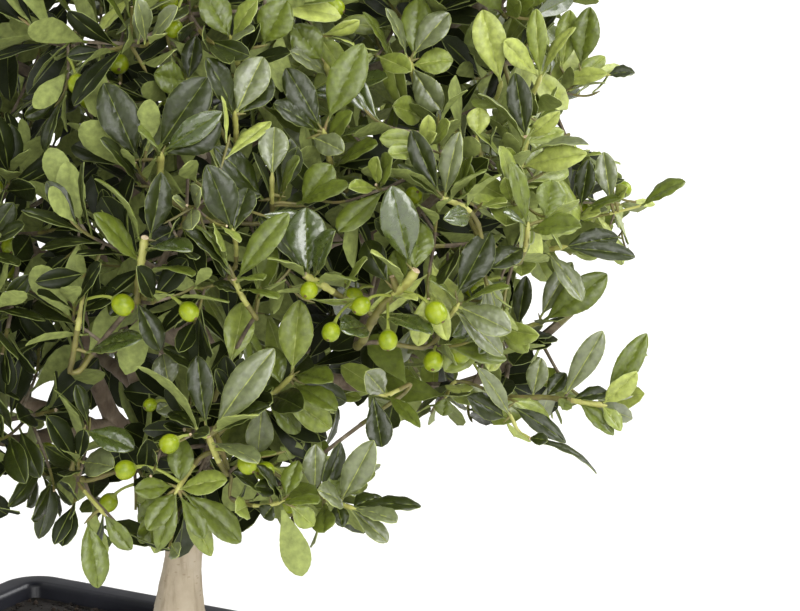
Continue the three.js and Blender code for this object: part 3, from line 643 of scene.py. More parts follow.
def spoils_view(points):
    """True where points would show on the bright background or hide a front leaf."""
    x, y, depth = pixels(points)
    column, row = x.astype(int), y.astype(int)
    shown = (column >= 0) & (column < PHOTO[0]) & (row >= 0) & (row < PHOTO[1])
    column, row, depth = column[shown], row[shown], depth[shown]
    return bool(np.any(IN_SKY[row, column] | (depth < HELD[row, column])))


# Limbs: a centreline with a radius at each sample

def spaced(points, count):
    """Points of a dense polyline, evenly spaced along it."""
    steps = np.linalg.norm(np.diff(points, axis=0), axis=1)
    along = np.concatenate([[0], np.cumsum(steps)])
    at = np.linspace(0, along[-1], count + 1)
    return np.stack([np.interp(at, along, points[:, i]) for i in range(3)], axis=1)


def catmull_rom(points, per_span=40):
    """Centripetal curve through points."""
    pts = [2 * points[0] - points[1], *points, 2 * points[-1] - points[-2]]
    made = []
    for p0, p1, p2, p3 in zip(pts, pts[1:], pts[2:], pts[3:]):
        spans = ((p0, p1), (p1, p2), (p2, p3))
        d0, d1, d2 = (max(float(np.linalg.norm(b - a)) ** 0.5, 1e-4) for a, b in spans)
        m1 = ((p1 - p0) / d0 - (p2 - p0) / (d0 + d1) + (p2 - p1) / d1) * d1
        m2 = ((p2 - p1) / d1 - (p3 - p1) / (d1 + d2) + (p3 - p2) / d2) * d1
        for t in np.arange(per_span) / per_span:
            square, cube = -3 * p1 + 3 * p2 - 2 * m1 - m2, 2 * p1 - 2 * p2 + m1 + m2
            made.append(p1 + m1 * t + square * t**2 + cube * t**3)
    made.append(points[-1])
    return np.array(made)


def bezier(a, b, c, d, count=40):
    t = np.linspace(0, 1, count + 1)[:, None]
    return (1 - t) ** 3 * a + 3 * (1 - t) ** 2 * t * b + 3 * (1 - t) * t**2 * c + t**3 * d


def over_soil(x, y, height):
    return FOOT + vec(x, y, height)


def trunk_limb(count):
    points = spaced(catmull_rom([over_soil(*p) for p in TRUNK["line"]]), count)
    shares, radii = zip(*TRUNK["taper"])
    radius = np.interp(np.linspace(0, 1, count + 1), shares, radii)
    radius[0] *= TRUNK["first_ring"]
    return points, radius


def mass_frame(row):
    name, degrees, reach, height, radii, source, at = row
    angle = math.radians(degrees)
    outward = vec(math.cos(angle), math.sin(angle), 0)
    centre = over_soil(reach * outward[0], reach * outward[1], height)
    return dict(
        name=name, radii=np.array(radii, float), source=source, at=at, outward=outward,
        across=np.cross(UP, outward), centre=centre, facing=unit(centre - over_soil(0, 0, MASS["middle"])),
    )


def bough_limb(start, mass, base, count):
    radii = mass["radii"]
    away = unit((mass["centre"] - start) * vec(1, 1, BOUGH["flatness"]))
    end = mass["centre"] - mass["outward"] * radii[0] * BOUGH["entry"] - UP * radii[2] * BOUGH["below"]
    span = float(np.linalg.norm(end - start))
    rise = start + away * BOUGH["leave"] * span + UP * BOUGH["rise"] * span
    level = end - mass["outward"] * BOUGH["arrive"] * span - UP * BOUGH["sag"] * span
    points = spaced(bezier(start, rise, level, end, 200), count)
    share = np.linspace(0, 1, count + 1) ** BOUGH["taper"]
    return points, base + (BOUGH["tip"] - base) * share


# Spaces of the masses

def local_share(mass, points):
    offset = np.asarray(points, float) - mass["centre"]
    local = np.stack([offset @ mass["outward"], offset @ mass["across"], offset @ UP], axis=-1)
    return np.linalg.norm(local / mass["radii"], axis=-1)


def dividers(mass, masses):
    made = []
    for other in masses:
        span = other["centre"] - mass["centre"]
        length = float(np.linalg.norm(span))
        if other is mass or length >= max(other["radii"]) + max(mass["radii"]):
            continue
        share = mass["radii"].mean() / (mass["radii"].mean() + other["radii"].mean())
        made.append((unit(span), length * share - MASS["gap"] / 2))
    return made


def in_space(mass, points, most=1.0, over=0.0):
    """True where every point is in the mass's space, or no further past its dividers than over."""
    if np.any(local_share(mass, points) > most):
        return False
    offset = np.asarray(points, float) - mass["centre"]
    return all(np.all(offset @ normal < limit + over) for normal, limit in mass["dividers"])


# What has grown, kept in arrays so that new growth is tested against all of it at once

class Grown:
    """Growing store of rows, as arrays by name."""

    def __init__(self, **shapes):
        self.count = 0
        self.rows = {name: np.zeros((64, *shape)) for name, shape in shapes.items()}

    def add(self, **values):
        if self.count == len(next(iter(self.rows.values()))):
            self.rows = {name: np.concatenate([a, np.zeros_like(a)]) for name, a in self.rows.items()}
        for name, value in values.items():
            self.rows[name][self.count] = value
        self.count += 1

    def __getitem__(self, name):
        return self.rows[name][: self.count]


LEAVES = Grown(
    foot=(3,), along=(3,), side=(3,), face=(3,), length=(), half=(), outline=(7, 3), middle=(3,),
    fold=(), curl=(), twist=(), shape=(), bow=(), tone=(), fine=(),
)
WOOD = Grown(a=(3,), b=(3,), radius=())
LIMBS = Grown(point=(3,), radius=())
BERRIES = Grown(centre=(3,), radius=(), axis=(3,))
TWIGS = []  # (points, radii, young share, cut)
STALKS = []
TONES = ["dark", "mid", "bright", "young", "grey", "gloss", "shade"]
OUTLINE = ((0.1, 0), (0.35, -0.7), (0.66, -1), (0.9, -0.6), (1, 0), (0.9, 0.6), (0.66, 1), (0.35, 0.7))
EDGES = [(i, (i + 1) % 8) for i in range(8)] + [(0, 4)]
INSIDE_SHARES = (0, 0.1, 0.2, 0.35, 0.66, 0.85, 1)
INSIDE_WIDTHS = (0.1, 0.15, 0.45, 0.75, 1, 0.75, 0.1)


def leaf_points(foot, along, side, length, half, where=OUTLINE):
    share = np.array(where)
    return foot + np.outer(share[:, 0] * length, along) + np.outer(share[:, 1] * half, side)


def in_leaf(share, across, half, grow=0.0):
    width = np.interp(share, INSIDE_SHARES, INSIDE_WIDTHS)
    return (share > 0.12) & (share < 1) & (np.abs(across) < width * half + grow)


def dot(v, w):
    return np.sum(v * w, axis=-1)


def crosses_leaf(a, b, leaf):
    """True for each stretch a-b that runs through the leaf. The arrays are broadcast together."""
    za, zb = dot(a - leaf["foot"], leaf["face"]), dot(b - leaf["foot"], leaf["face"])
    cut = (za * zb) < 0
    t = np.where(cut, za / np.where(cut, za - zb, 1), 0)
    p = a + (b - a) * t[..., None]
    share = dot(p - leaf["foot"], leaf["along"]) / leaf["length"]
    return cut & in_leaf(share, dot(p - leaf["foot"], leaf["side"]), leaf["half"])


def kept_blades(which=slice(None)):
    """Kept leaves, ready to be broadcast against rows of stretches."""
    names = ("foot", "along", "side", "face", "length", "half")
    return {name: LEAVES[name][which][:, None] for name in names}


def berry_meets_leaf(centre, radius, leaf, gap, margin):
    """True where a berry comes within a gap of a leaf's blade. The arrays are broadcast together."""
    offset = centre - leaf["foot"]
    share = dot(offset, leaf["along"]) / leaf["length"]
    close = np.abs(dot(offset, leaf["face"])) < radius + gap
    over = in_leaf(np.clip(share, 0.13, 0.99), dot(offset, leaf["side"]), leaf["half"], margin)
    return bool(np.any(close & over & (share > -0.1) & (share < 1.1)))


SAMPLES = [(s, w) for s in (0.15, 0.35, 0.55, 0.75, 0.95) for w in (-0.85, -0.3, 0.3, 0.85)]


def on_leaf(leaf, where=OUTLINE):
    return leaf_points(leaf["foot"], leaf["along"], leaf["side"], leaf["length"], leaf["half"], where)


def leaf_is_free(leaf, own_twig):
    """True where a leaf meets no limb, twig, leaf or berry."""
    length = leaf["length"]
    middle = leaf["foot"] + leaf["along"] * length / 2
    grid = on_leaf(leaf, SAMPLES)
    near = np.linalg.norm(LIMBS["point"] - middle, axis=1) < LIMBS["radius"] + length
    if near.any():
        gaps = np.linalg.norm(LIMBS["point"][near][:, None] - grid, axis=2) - LIMBS["radius"][near][:, None]
        if gaps.min() < ROOM["limb"]:
            return False
    wood = np.linalg.norm((WOOD["a"] + WOOD["b"]) / 2 - middle, axis=1) < length
    wood[own_twig] = False
    if wood.any() and crosses_leaf(WOOD["a"][wood], WOOD["b"][wood], leaf).any():
        return False
    if berry_meets_leaf(BERRIES["centre"], BERRIES["radius"], leaf, ROOM["leaf_over_berry"], 2.2):
        return False
    others = np.linalg.norm(LEAVES["middle"] - middle, axis=1) < length * 0.95
    if not others.any():
        return True
    mine = on_leaf(leaf)
    if crosses_leaf(mine[[i for i, _ in EDGES]], mine[[j for _, j in EDGES]], kept_blades(others)).any():
        return False
    theirs = np.concatenate([LEAVES["foot"][others][:, None], LEAVES["outline"][others]], axis=1)
    return not crosses_leaf(theirs[:, :-1], theirs[:, 1:], leaf).any()


def keep_leaf(leaf, fine=0):
    """Keeps a leaf. fine is 1 for one seen closely, 0 for another, and -1 for one inside the crown."""
    measures = {name: value for name, value in leaf.items() if name != "tone"}
    LEAVES.add(
        **measures, outline=on_leaf(leaf)[1:], middle=leaf["foot"] + leaf["along"] * leaf["length"] / 2,
        tone=TONES.index(leaf["tone"]), fine=fine,
    )


def make_leaf(foot, along, upper, length, width, tone, draw):
    side = unit(np.cross(along, upper))
    form = {name: between(draw, *LEAF[name]) for name in ("fold", "curl", "twist", "shape")}
    return dict(
        foot=foot, along=along, side=side, face=np.cross(side, along), length=length, half=width / 2,
        tone=tone, bow=0, **form,
    )


# Twigs

def curved(start, first, end, last, count=7):
    span = float(np.linalg.norm(end - start))
    swing = TWIG["curve"]
    return spaced(bezier(start, start + first * swing * span, end - last * swing * span, end), count)


def twig_is_free(points, radius, skip):
    """True where a twig meets no limb, other wood or leaf past its foot."""
    along = np.concatenate([[0], np.cumsum(np.linalg.norm(np.diff(points, axis=0), axis=1))])
    free = points[along > TWIG["clear_after"]]
    if len(free) < 2:
        return False
    gaps = np.linalg.norm(LIMBS["point"][:, None] - free, axis=2) - LIMBS["radius"][:, None]
    if gaps.min() < radius + ROOM["limb"]:
        return False
    others = np.ones(WOOD.count, bool)
    others[skip] = False
    a, b = WOOD["a"][others], WOOD["b"][others]
    if len(a):
        span = b - a
        scale = np.maximum((span**2).sum(1), 1e-9)
        offset = free[:, None] - a
        t = np.clip((offset * span).sum(2) / scale, 0, 1)
        gap = np.linalg.norm(offset - t[..., None] * span, axis=2) - WOOD["radius"][others]
        if gap.min() < radius * 0.7 + ROOM["wood"]:
            return False
    return not crosses_leaf(points[:-1], points[1:], kept_blades()).any()


def keep_twig(points, radii, young=0.0, cut=False):
    """Adds a twig and returns the slice of wood rows that it takes."""
    first = WOOD.count
    for a, b, radius in zip(points, points[1:], radii[1:]):
        WOOD.add(a=a, b=b, radius=radius)
    TWIGS.append((np.asarray(points, float), np.asarray(radii, float), young, cut))
    return slice(first, WOOD.count)


def tip_candidate(mass, draw, rule):
    height = between(draw, MASS["low"], 1)
    turn = between(draw, -math.pi, math.pi)
    flat = math.sqrt(1 - height * height)
    share = between(draw, rule["near"], rule["far"])
    along, across, upwards = mass["radii"] * share
    return (
        mass["centre"]
        + mass["outward"] * along * flat * math.cos(turn)
        + mass["across"] * across * flat * math.sin(turn)
        + UP * upwards * height
    )


def twig_tip(mass, draw, rule):
    """Of several candidates, the one with the most room round it, and that room."""
    best, best_score, room = None, -1e9, 0
    for _ in range(rule["candidates"]):
        point = tip_candidate(mass, draw, rule)
        if not in_space(mass, point[None]):
            continue
        gap = min((float(np.linalg.norm(t - point)) for t in mass["tips"]), default=1e3)
        score = min(gap, 1e3) + MASS["outer_weight"] * float((point - mass["centre"]) @ mass["facing"])
        if score > best_score:
            best, best_score, room = point, score, gap
    return best, room


def stem_places(mass, start, direction):
    """Keeps the mass's stem and gives the places on it that twigs leave."""
    radii = mass["radii"]
    end = mass["centre"] + mass["outward"] * STEM["end"] * radii[0] + UP * STEM["end"] * radii[2]
    heart = start + direction * STEM["heart"] * float(np.linalg.norm(mass["centre"] - start))
    smooth = bezier(start, start + (heart - start) * 0.8, heart + (end - heart) * 0.3, end)
    smooth = spaced(smooth, STEM["steps"])
    rows = keep_twig(smooth, np.linspace(STEM["radius"], STEM["tip_radius"] * 0.7, STEM["steps"] + 1))
    places = []
    for a, b in ((start, heart), (heart, end)):
        span = float(np.linalg.norm(b - a))
        reach = span - STEM["last"]
        count = max(1, round(reach / STEM["spacing"]))
        for i in range(count):
            point = a + (b - a) * ((i + 1) / count * reach / span)
            nearest = smooth[int(np.argmin(np.linalg.norm(smooth - point, axis=1)))]
            places.append(dict(point=nearest, depth=0, rows=rows, radius=STEM["tip_radius"] * 0.8))
    return places


def nearest_place(places, tip):
    cost = [float(np.linalg.norm(p["point"] - tip)) * (1 + TWIG["per_fork"] * p["depth"]) for p in places]
    return places[int(np.argmin(cost))]


CROWN_HEART = over_soil(0, 0, 105)


def grow_to(mass, tip, draw, rule):
    """A twig from the nearest wood to a tip, or None where it has no room."""
    place = nearest_place(mass["places"], tip)
    if float(np.linalg.norm(tip - place["point"])) < TWIG["shortest"]:
        return None
    straight = unit(tip - place["point"])
    stray = TWIG["stray"] * vec(draw() - 0.5, draw() - 0.5, draw() - 0.5)
    lift = unit(straight + rule["bend"] * unit(tip - CROWN_HEART) + rule["bend"] * UP + stray)
    points = curved(place["point"], unit(straight - TWIG["swing"] * (lift - straight)), tip, lift)
    base = min(rule["radius"], place["radius"])
    if spoils_view(points[1:]) or not twig_is_free(points, base, place["rows"]):
        return None
    radii = np.linspace(base, min(rule["tip_radius"], base), len(points))
    return dict(points=points, radii=radii, place=place, mass=mass)


def keep_grown(twig, cut):
    """Keeps a twig, and the places on it that later twigs may leave. Gives its sprig."""
    points, radii, place = twig["points"], twig["radii"], twig["place"]
    rows = keep_twig(points, radii, 0.0, cut)
    length = float(np.linalg.norm(np.diff(points, axis=0), axis=1).sum())
    made = dict(
        points=points, radii=radii, rows=rows, mass=twig["mass"], index=len(TWIGS) - 1, needed=0, bare=length,
        length=length,
    )
    for k in TWIG["forks"]:
        twig["mass"]["places"].append(dict(
            point=points[k], depth=place["depth"] + 1, rows=rows, radius=radii[k] * TWIG["fork_radius"],
            owner=made, share=k / (len(points) - 1),
        ))
    if "owner" in place:
        place["owner"]["needed"] = max(place["owner"]["needed"], place["share"])
    return made


def send_shoots(mass, draw, rule, made=0):
    """Sends twigs into a mass by one rule, up to its number, and gives how many it bears."""
    for _ in range(rule["tries"]):
        if made == rule["count"]:
            break
        tip, room = twig_tip(mass, draw, rule)
        if tip is None or room < rule["room"]:
            continue
        twig = grow_to(mass, tip, draw, rule)
        if twig:
            mass["tips"].append(tip)
            made += 1
            SHOOTS.append(keep_grown(twig, rule["cut"] > 0 and draw() < rule["cut"]))
    return made


def trim(sprig):
    """Takes off a twig's end as far as it bears nothing."""
    keep = max(sprig["needed"], 1 - max(sprig["bare"] - LEAF["steps"][0], 0) / sprig["length"])
    points, radii, young, _ = TWIGS[sprig["index"]]
    rows = np.arange(WOOD.count)[sprig["rows"]]
    if keep < TWIG["least_kept"]:
        TWIGS[sprig["index"]] = None
        WOOD["a"][rows], WOOD["b"][rows] = points[0], points[0]
    elif keep <= 0.99:
        at = np.linspace(0, 1, len(points))
        shorter = np.stack([np.interp(at * keep, at, points[:, i]) for i in range(3)], axis=1)
        TWIGS[sprig["index"]] = (shorter, np.interp(at * keep, at, radii), young, False)
        WOOD["a"][rows], WOOD["b"][rows] = shorter[:-1], shorter[1:]


# Sprigs: a twig's leaves and berries

def sun_at(tip):
    """How sunny it is at a point, from 0 to 1: more toward the crown's top and its sunny side."""
    high = SUN["high"] * (tip[2] - FOOT[2] - SUN["start"]) / SUN["height"]
    return np.clip(high + SUN["aside"] * (tip - FOOT) @ ASIDE / SUN["reach"], 0, 1)


# A sprig's tone, drawn by how sunny its tip is: lighter tones on the sunny side and dark and shade ones away
# from it, partly the yellower leaves of a sunny side and partly painted light and shade
def tone_of(tip, draw):
    sun = sun_at(tip)
    pick = draw()
    for tone, share, lit in SPRIG["shares"]:
        if pick < share + lit * sun:
            return tone
        pick -= share + lit * sun
    for tone, share, lit in SPRIG["below"]:
        if pick < share + lit * sun:
            return tone
    return "mid"


def depth_inside(point):
    """How far inside the crown's surface a point lies, about."""
    return max(float((1 - local_share(m, point)) * m["radii"].min()) for m in MASSES)


def point_on(sprig, back):
    """A point so far back from the tip along a sprig's twig, the direction there and the radius."""
    points = sprig["points"][::-1]
    steps = np.linalg.norm(np.diff(points, axis=0), axis=1)
    at = np.concatenate([[0], np.cumsum(steps)])
    back = min(back, at[-1] * 0.85)
    point = vec(*[np.interp(back, at, points[:, i]) for i in range(3)])
    k = min(int(np.searchsorted(at, back)), len(steps)) or 1
    return point, unit(points[k - 1] - points[k]), float(np.interp(back, at, sprig["radii"][::-1]))


def tone_at(sprig, k):
    """The tone of a sprig's k-th leaf: darker farther inside the crown, as painted shade and partly as
    older leaves, and young at a flushing tip.
    """
    tone = sprig["tone"]
    if sprig["depth"] > DEPTH["shaded"] + sprig["sun"]:
        return "shade"
    if sprig["depth"] > DEPTH["grown"] + sprig["sun"]:
        return {"young": "mid", "bright": "mid", "mid": "dark", "gloss": "dark"}.get(tone, tone)
    if k < 2 and tone in ("mid", "bright") and sprig["flush"]:
        return {"mid": "bright", "bright": "young"}[tone]
    return tone


def leaf_on(sprig, k, draw):
    """Keeps the k-th leaf down a sprig where it has room."""
    back = sum(LEAF["steps"][: k + 1])
    jitter = between(draw, *LEAF["turn_jitter"])
    share = LEAF["first_sizes"][k] if k < len(LEAF["first_sizes"]) else 1
    length = between(draw, *LEAF["lengths"]) * share * sprig["vigour"]
    width_share, lean_jitter, lift, tilt = (
        between(draw, *LEAF[name]) for name in ("width_share", "lean_jitter", "lift", "tilt")
    )
    if back > (1 - LEAF["bare_base"]) * sprig["length"]:
        return
    root, axis, radius = point_on(sprig, back)
    lean = math.radians(min(LEAF["first_lean"] + LEAF["lean_step"] * k, LEAF["lean_most"]) + lean_jitter)
    tone = tone_at(sprig, k)
    for shorter, extra in LEAF["tries"]:
        turn = sprig["turn"] + LEAF["golden"] * k + jitter + extra
        radial = turned(square_to(UP + vec(0.01, 0.02, 0), axis), axis, turn)
        along = unit(axis * math.cos(lean) + radial * math.sin(lean) + UP * LEAF["upward"])
        upper = axis * math.sin(lean) - radial * math.cos(lean) + UP * lift + np.cross(axis, radial) * tilt
        size = length * shorter
        foot = root + radial * radius * LEAF["seat"]
        leaf = make_leaf(foot, along, upper, size, size * width_share, tone, draw)
        if not in_space(sprig["mass"], on_leaf(leaf), LEAF["space"], LEAF["overlap"]):
            continue
        if not spoils_view(on_leaf(leaf, SAMPLES)) and leaf_is_free(leaf, sprig["rows"]):
            keep_leaf(leaf, -1 if sprig["depth"] > DEPTH["plain"] else 0)
            sprig["bare"] = min(sprig["bare"], back)
            return


def berry_is_free(centre, radius):
    if berry_meets_leaf(centre, radius, LEAVES, ROOM["berry_over_leaf"], 2.0):
        return False
    apart = np.linalg.norm(BERRIES["centre"] - centre, axis=1) - BERRIES["radius"] - radius
    if np.any(apart < ROOM["berries"]):
        return False
    span = WOOD["b"] - WOOD["a"]
    t = np.clip(((centre - WOOD["a"]) * span).sum(1) / np.maximum((span**2).sum(1), 1e-9), 0, 1)
    gap = np.linalg.norm(WOOD["a"] + t[:, None] * span - centre, axis=1) - WOOD["radius"]
    return bool(gap.min() > radius + ROOM["berry_wood"])


def hang_berry(start, centre, radius):
    """Keeps a berry and its curved stalk."""
    straight = unit(centre - start)
    tip = centre - unit(straight - 0.5 * UP) * radius * 0.9
    last = unit(centre - tip)
    STALKS.append(curved(start, unit(straight + BERRY["droop"] * UP), tip, last, 5))
    BERRIES.add(centre=centre, radius=radius, axis=last)


def ring_seen(centre, radius, step):
    """Points round a centre, as the photograph's camera sees it."""
    return [centre + radius * (ASIDE * math.cos(a) + RAISED * math.sin(a)) for a in np.arange(0, 6.28, step)]


def berry_on(sprig, draw):
    """Keeps a berry on a sprig where it has room."""
    back, turn, radius = between(draw, *BERRY["back"]), between(draw, 0, 360), between(draw, *BERRY["radius"])
    root, axis, _ = point_on(sprig, back)
    for extra in BERRY["turns"]:
        radial = turned(square_to(UP, axis), axis, turn + extra)
        hang = unit(radial + BERRY["droop"] * axis - BERRY["droop"] * UP)
        centre = root + hang * (BERRY["stalk"] + radius)
        ring = centre + radius * np.array([ASIDE, -ASIDE, RAISED, -RAISED])
        if not in_space(sprig["mass"], centre[None], BERRY["space"], BERRY["overlap"]):
            continue
        if not spoils_view(ring) and berry_is_free(centre, radius):
            hang_berry(root, centre, radius)
            sprig["bare"] = min(sprig["bare"], back)
            return


# Growth

MASSES = [mass_frame(row) for row in CROWN]
for mass in MASSES:
    mass["dividers"] = dividers(mass, MASSES)


def share_in_crown(point):
    """How far out a point lies in the nearest mass: 0 in its middle, 1 at its surface."""
    return min(float(local_share(m, point)) for m in MASSES)


def crown_front(pixel, level=0.78):
    """How far toward the camera the crown's front lies at a pixel."""
    best, least = 0, 1e9
    for toward in range(140, -120, -2):
        share = share_in_crown(at_pixel(pixel, toward))
        if share < least:
            best, least = toward, share
        if share <= level:
            return toward
    return best


trunk_points, trunk_radii = trunk_limb(18)
for point, radius in zip(*trunk_limb(90)):
    LIMBS.add(point=point, radius=radius)
boughs = {}
for mass in MASSES:
    if mass["source"] == "trunk_tip":
        continue
    if mass["source"] == "trunk":
        level = SOIL_TOP + mass["at"]
        start = trunk_points[int(np.argmin(np.abs(trunk_points[:, 2] - level)))]
        base = BOUGH["base"]
    else:
        start = boughs[mass["source"]][0][round(mass["at"] * BOUGH["rings"])]
        base = BOUGH["side_base"]
    boughs[mass["name"]] = bough_limb(start, mass, base, BOUGH["rings"])
    for point, radius in zip(*bough_limb(start, mass, base, 40)):
        LIMBS.add(point=point, radius=radius)

for mass in MASSES:
    carrier = (trunk_points, trunk_radii) if mass["source"] == "trunk_tip" else boughs[mass["name"]]
    tip = carrier[0][-1]
    direction = unit(tip - carrier[0][-2])
    mass["places"] = stem_places(mass, tip - direction * STEM["overlap"], direction)


def on_twig(wood, pixel):
    """The point of a twig that shows nearest to a pixel, and what the pixel shows at that depth."""
    x, y, _ = pixels(wood)
    node = wood[int(np.argmin(np.hypot(x - pixel[0], y - pixel[1])))]
    return node, at_pixel(pixel, float((node - FOOT) @ TOWARD))


def side_shoot(node, end, radius, cut=False):
    path = curved(node, unit(end - node + 2 * UP), end, unit(end - node), 3)
    keep_twig(path, np.linspace(radius, radius * 0.8, 4), FRONT["shoot_young"], cut)


def front_leaf(wood, toward, row, draw):
    foot, tip, forward, roll, width, tone, *more = row
    node, seen = on_twig(wood, foot)
    gap = float(np.linalg.norm(seen - node))
    start = node
    if gap > FRONT["on_twig"]:
        start = node + unit(seen - node) * min(gap, FRONT["side_shoot"])
        side_shoot(node, start, FRONT["shoot_radius"])
    end = at_pixel(tip, toward + forward)
    along = unit(end - start)
    length = float(np.linalg.norm(end - start))
    upper = turned(square_to(EYE - start, along), along, -roll)
    leaf = make_leaf(start, along, upper, length, width, tone, draw)
    leaf.update(curl=0.0, shape=between(draw, *FRONT["shape"]), bow=FRONT["bow"] * length)
    leaf.update(zip(("bow", "shape"), more))
    keep_leaf(leaf, 1)
    hold(on_leaf(leaf))


def front_twig(sprig, toward):
    """The wood of a front sprig: the part that its pixels give, after a lead from the crown's own wood."""
    last = len(sprig["path"]) - 1
    nodes = [at_pixel(p, toward - FRONT["fall"] * (1 - k / last)) for k, p in enumerate(sprig["path"])]
    mass = min(MASSES, key=lambda m: float(local_share(m, nodes[-1])))
    if "start" in sprig:
        carrier = front[sprig["start"]]["wood"]
        begin = carrier[int(np.argmin(np.linalg.norm(carrier - nodes[0], axis=1)))]
    else:
        begin = nearest_place(mass["places"], nodes[0])["point"]
    lead = curved(begin, unit(nodes[0] - begin + 8 * UP), nodes[0], unit(nodes[1] - nodes[0]), 6)
    seen = catmull_rom(nodes)
    points = np.concatenate([lead[:-1], spaced(seen, 2 * last + 2)])
    shares = sprig["radius"] * vec(*FRONT["radii"])
    if "tip" in sprig:
        shares[-1] = sprig["radius"] * (FRONT["thin_tip"] * sprig["tip"] / sprig["radius"])
    radii = np.interp(np.linspace(0, 1, len(points)), (0, 0.5, 1), shares)
    rows = keep_twig(points, radii, FRONT["young"], sprig.get("cut", False))
    for k in (3, 5):
        radius = radii[k] * TWIG["fork_radius"]
        mass["places"].append(dict(point=points[k], depth=2, rows=rows, radius=radius))
    return spaced(seen, 60)


draw = seeded(SEEDS["front"])
front = {}
for name, sprig in SPRIGS.items():
    if "start" in sprig:
        toward = front[sprig["start"]]["toward"]
    else:
        toward = sprig.get("toward", crown_front(sprig["path"][-1]) - sprig.get("deeper", 0))
    wood = front_twig(sprig, toward)
    front[name] = dict(wood=wood, toward=toward)
    for row in sprig["leaves"]:
        front_leaf(wood, toward, row, draw)
    for centre, radius, foot in sprig.get("berries", ()):
        middle = at_pixel(centre, toward + FRONT["berry_forward"])
        hang_berry(on_twig(wood, foot)[0], middle, radius)
        hold(ring_seen(middle, radius * 1.1, 0.5))
    for foot, tip in sprig.get("stubs", ()):
        node, _ = on_twig(wood, foot)
        side_shoot(node, at_pixel(tip, float((node - FOOT) @ TOWARD) + 1), 0.9, True)

SHOOTS = []
for index, mass in enumerate(MASSES):
    mass["tips"] = []
    made = send_shoots(mass, seeded(SEEDS["shoots"] + MASS["step"] * index), SHOOTING["main"])
    draw = seeded(SEEDS["fine"] + MASS["step"] * index)
    send_shoots(mass, draw, SHOOTING["fine"], made)
    send_shoots(mass, draw, SHOOTING["inner"])

draw = seeded(SEEDS["leaves"])
for sprig in SHOOTS:
    tip = sprig["points"][-1]
    sprig["turn"] = between(draw, 0, 360)
    sprig["vigour"] = between(draw, *SPRIG["vigour"])
    sprig["flush"] = draw() < SPRIG["flush"][0] + SPRIG["flush"][1] * sun_at(tip)
    sprig["tone"] = tone_of(tip, draw)
    sprig["depth"] = depth_inside(tip)
    sprig["sun"] = DEPTH["sunny"] * sun_at(tip)
    sprig["fruiting"] = draw() < BERRY["share"] and sprig["mass"]["name"] not in WITHOUT_FRUIT
for sprig in SHOOTS:
    if sprig["fruiting"]:
        berry_on(sprig, draw)
        if draw() < BERRY["second"]:
            berry_on(sprig, draw)
for k in range(len(LEAF["steps"])):
    for sprig in SHOOTS:
        leaf_on(sprig, k, draw)
for sprig in reversed(SHOOTS):
    trim(sprig)


# Leaves that close gaps

COVERED = np.zeros(IN_SKY.shape, bool)
NO_LIMB = -1e3
LIMB_FRONT = np.full(IN_SKY.shape, NO_LIMB)  # how far toward the camera the limbs lie at each pixel


def cover(points):
    window, mask = seen_mask(points)
    COVERED[window] |= mask


def closing_leaf(point, row, draw):
    """A leaf from one stretch of wood that passes a point, or None where it has no room."""
    foot = (WOOD["a"][row] + WOOD["b"][row]) / 2
    gap = float(np.linalg.norm(point - foot))
    along = (point - foot) / gap
    length = gap / CLOSE["share"]
    facing = square_to(BACK + 0.7 * UP + 0.5 * vec(draw() - 0.5, draw() - 0.5, draw() - 0.5), along)
    tone = tone_of(point, draw)
    # Deep inside the crown the leaf takes the shade tone: painted shade.
    if depth_inside(point) > DEPTH["shaded"] + DEPTH["sunny"] * sun_at(point):
        tone = "shade"
    leaf = make_leaf(foot, along, facing, length, length * between(draw, *CLOSE["width_share"]), tone, draw)
    if spoils_view(on_leaf(leaf, SAMPLES)) or not leaf_is_free(leaf, slice(max(row - 1, 0), row + 2)):
        return None
    return leaf


def closing_options(x, y):
    """Points behind a pixel, each with a stretch of wood at a leaf's distance, the best first."""
    options = []
    wood = (WOOD["a"] + WOOD["b"]) / 2
    for toward in CLOSE["depths"]:
        if toward < LIMB_FRONT[y, x] + 1:
            break
        point = at_pixel((x, y), toward)
        if share_in_crown(point) > 1:
            continue
        gaps = np.linalg.norm(wood - point, axis=1)
        within = (gaps > CLOSE["reach"][0]) & (gaps < CLOSE["reach"][1])
        for row in np.flatnonzero(within)[: CLOSE["per_depth"]]:
            options.append((abs(gaps[row] - CLOSE["best"]), toward, row, point))
    return sorted(options, key=lambda option: option[:3])[: CLOSE["tries"]]


for foot, outline in zip(LEAVES["foot"], LEAVES["outline"]):
    cover(np.concatenate([foot[None], outline]))
for point, radius in zip(LIMBS["point"], LIMBS["radius"]):
    window, mask = seen_mask(ring_seen(point, radius, 0.8))
    reached = np.where(mask, (point - FOOT) @ TOWARD + radius, NO_LIMB)
    LIMB_FRONT[window] = np.maximum(LIMB_FRONT[window], reached)
COVERED[CLOSE["bare_below"]:] |= LIMB_FRONT[CLOSE["bare_below"]:] > NO_LIMB
draw = seeded(SEEDS["closing"])
for y in range(2, PHOTO[1], CLOSE["step"]):
    for x in range(CLOSE["left"], PHOTO[0], CLOSE["step"]):
        if COVERED[y, x] or IN_SKY[y, x]:
            continue
        for _, _, row, point in closing_options(x, y):
            leaf = closing_leaf(point, row, draw)
            if leaf:
                keep_leaf(leaf, -1)
                cover(on_leaf(leaf))
                break


# Meshes

class Pile:
    """Points, faces and finishes that end as one mesh."""

    def __init__(self):
        self.points, self.faces, self.finishes, self.count = [], [], [], 0

    def add(self, points, faces, finishes):
        self.points.append(points)
        self.faces.append(faces + self.count)
        self.finishes.append(np.broadcast_to(finishes, len(faces)))
        self.count += len(points)


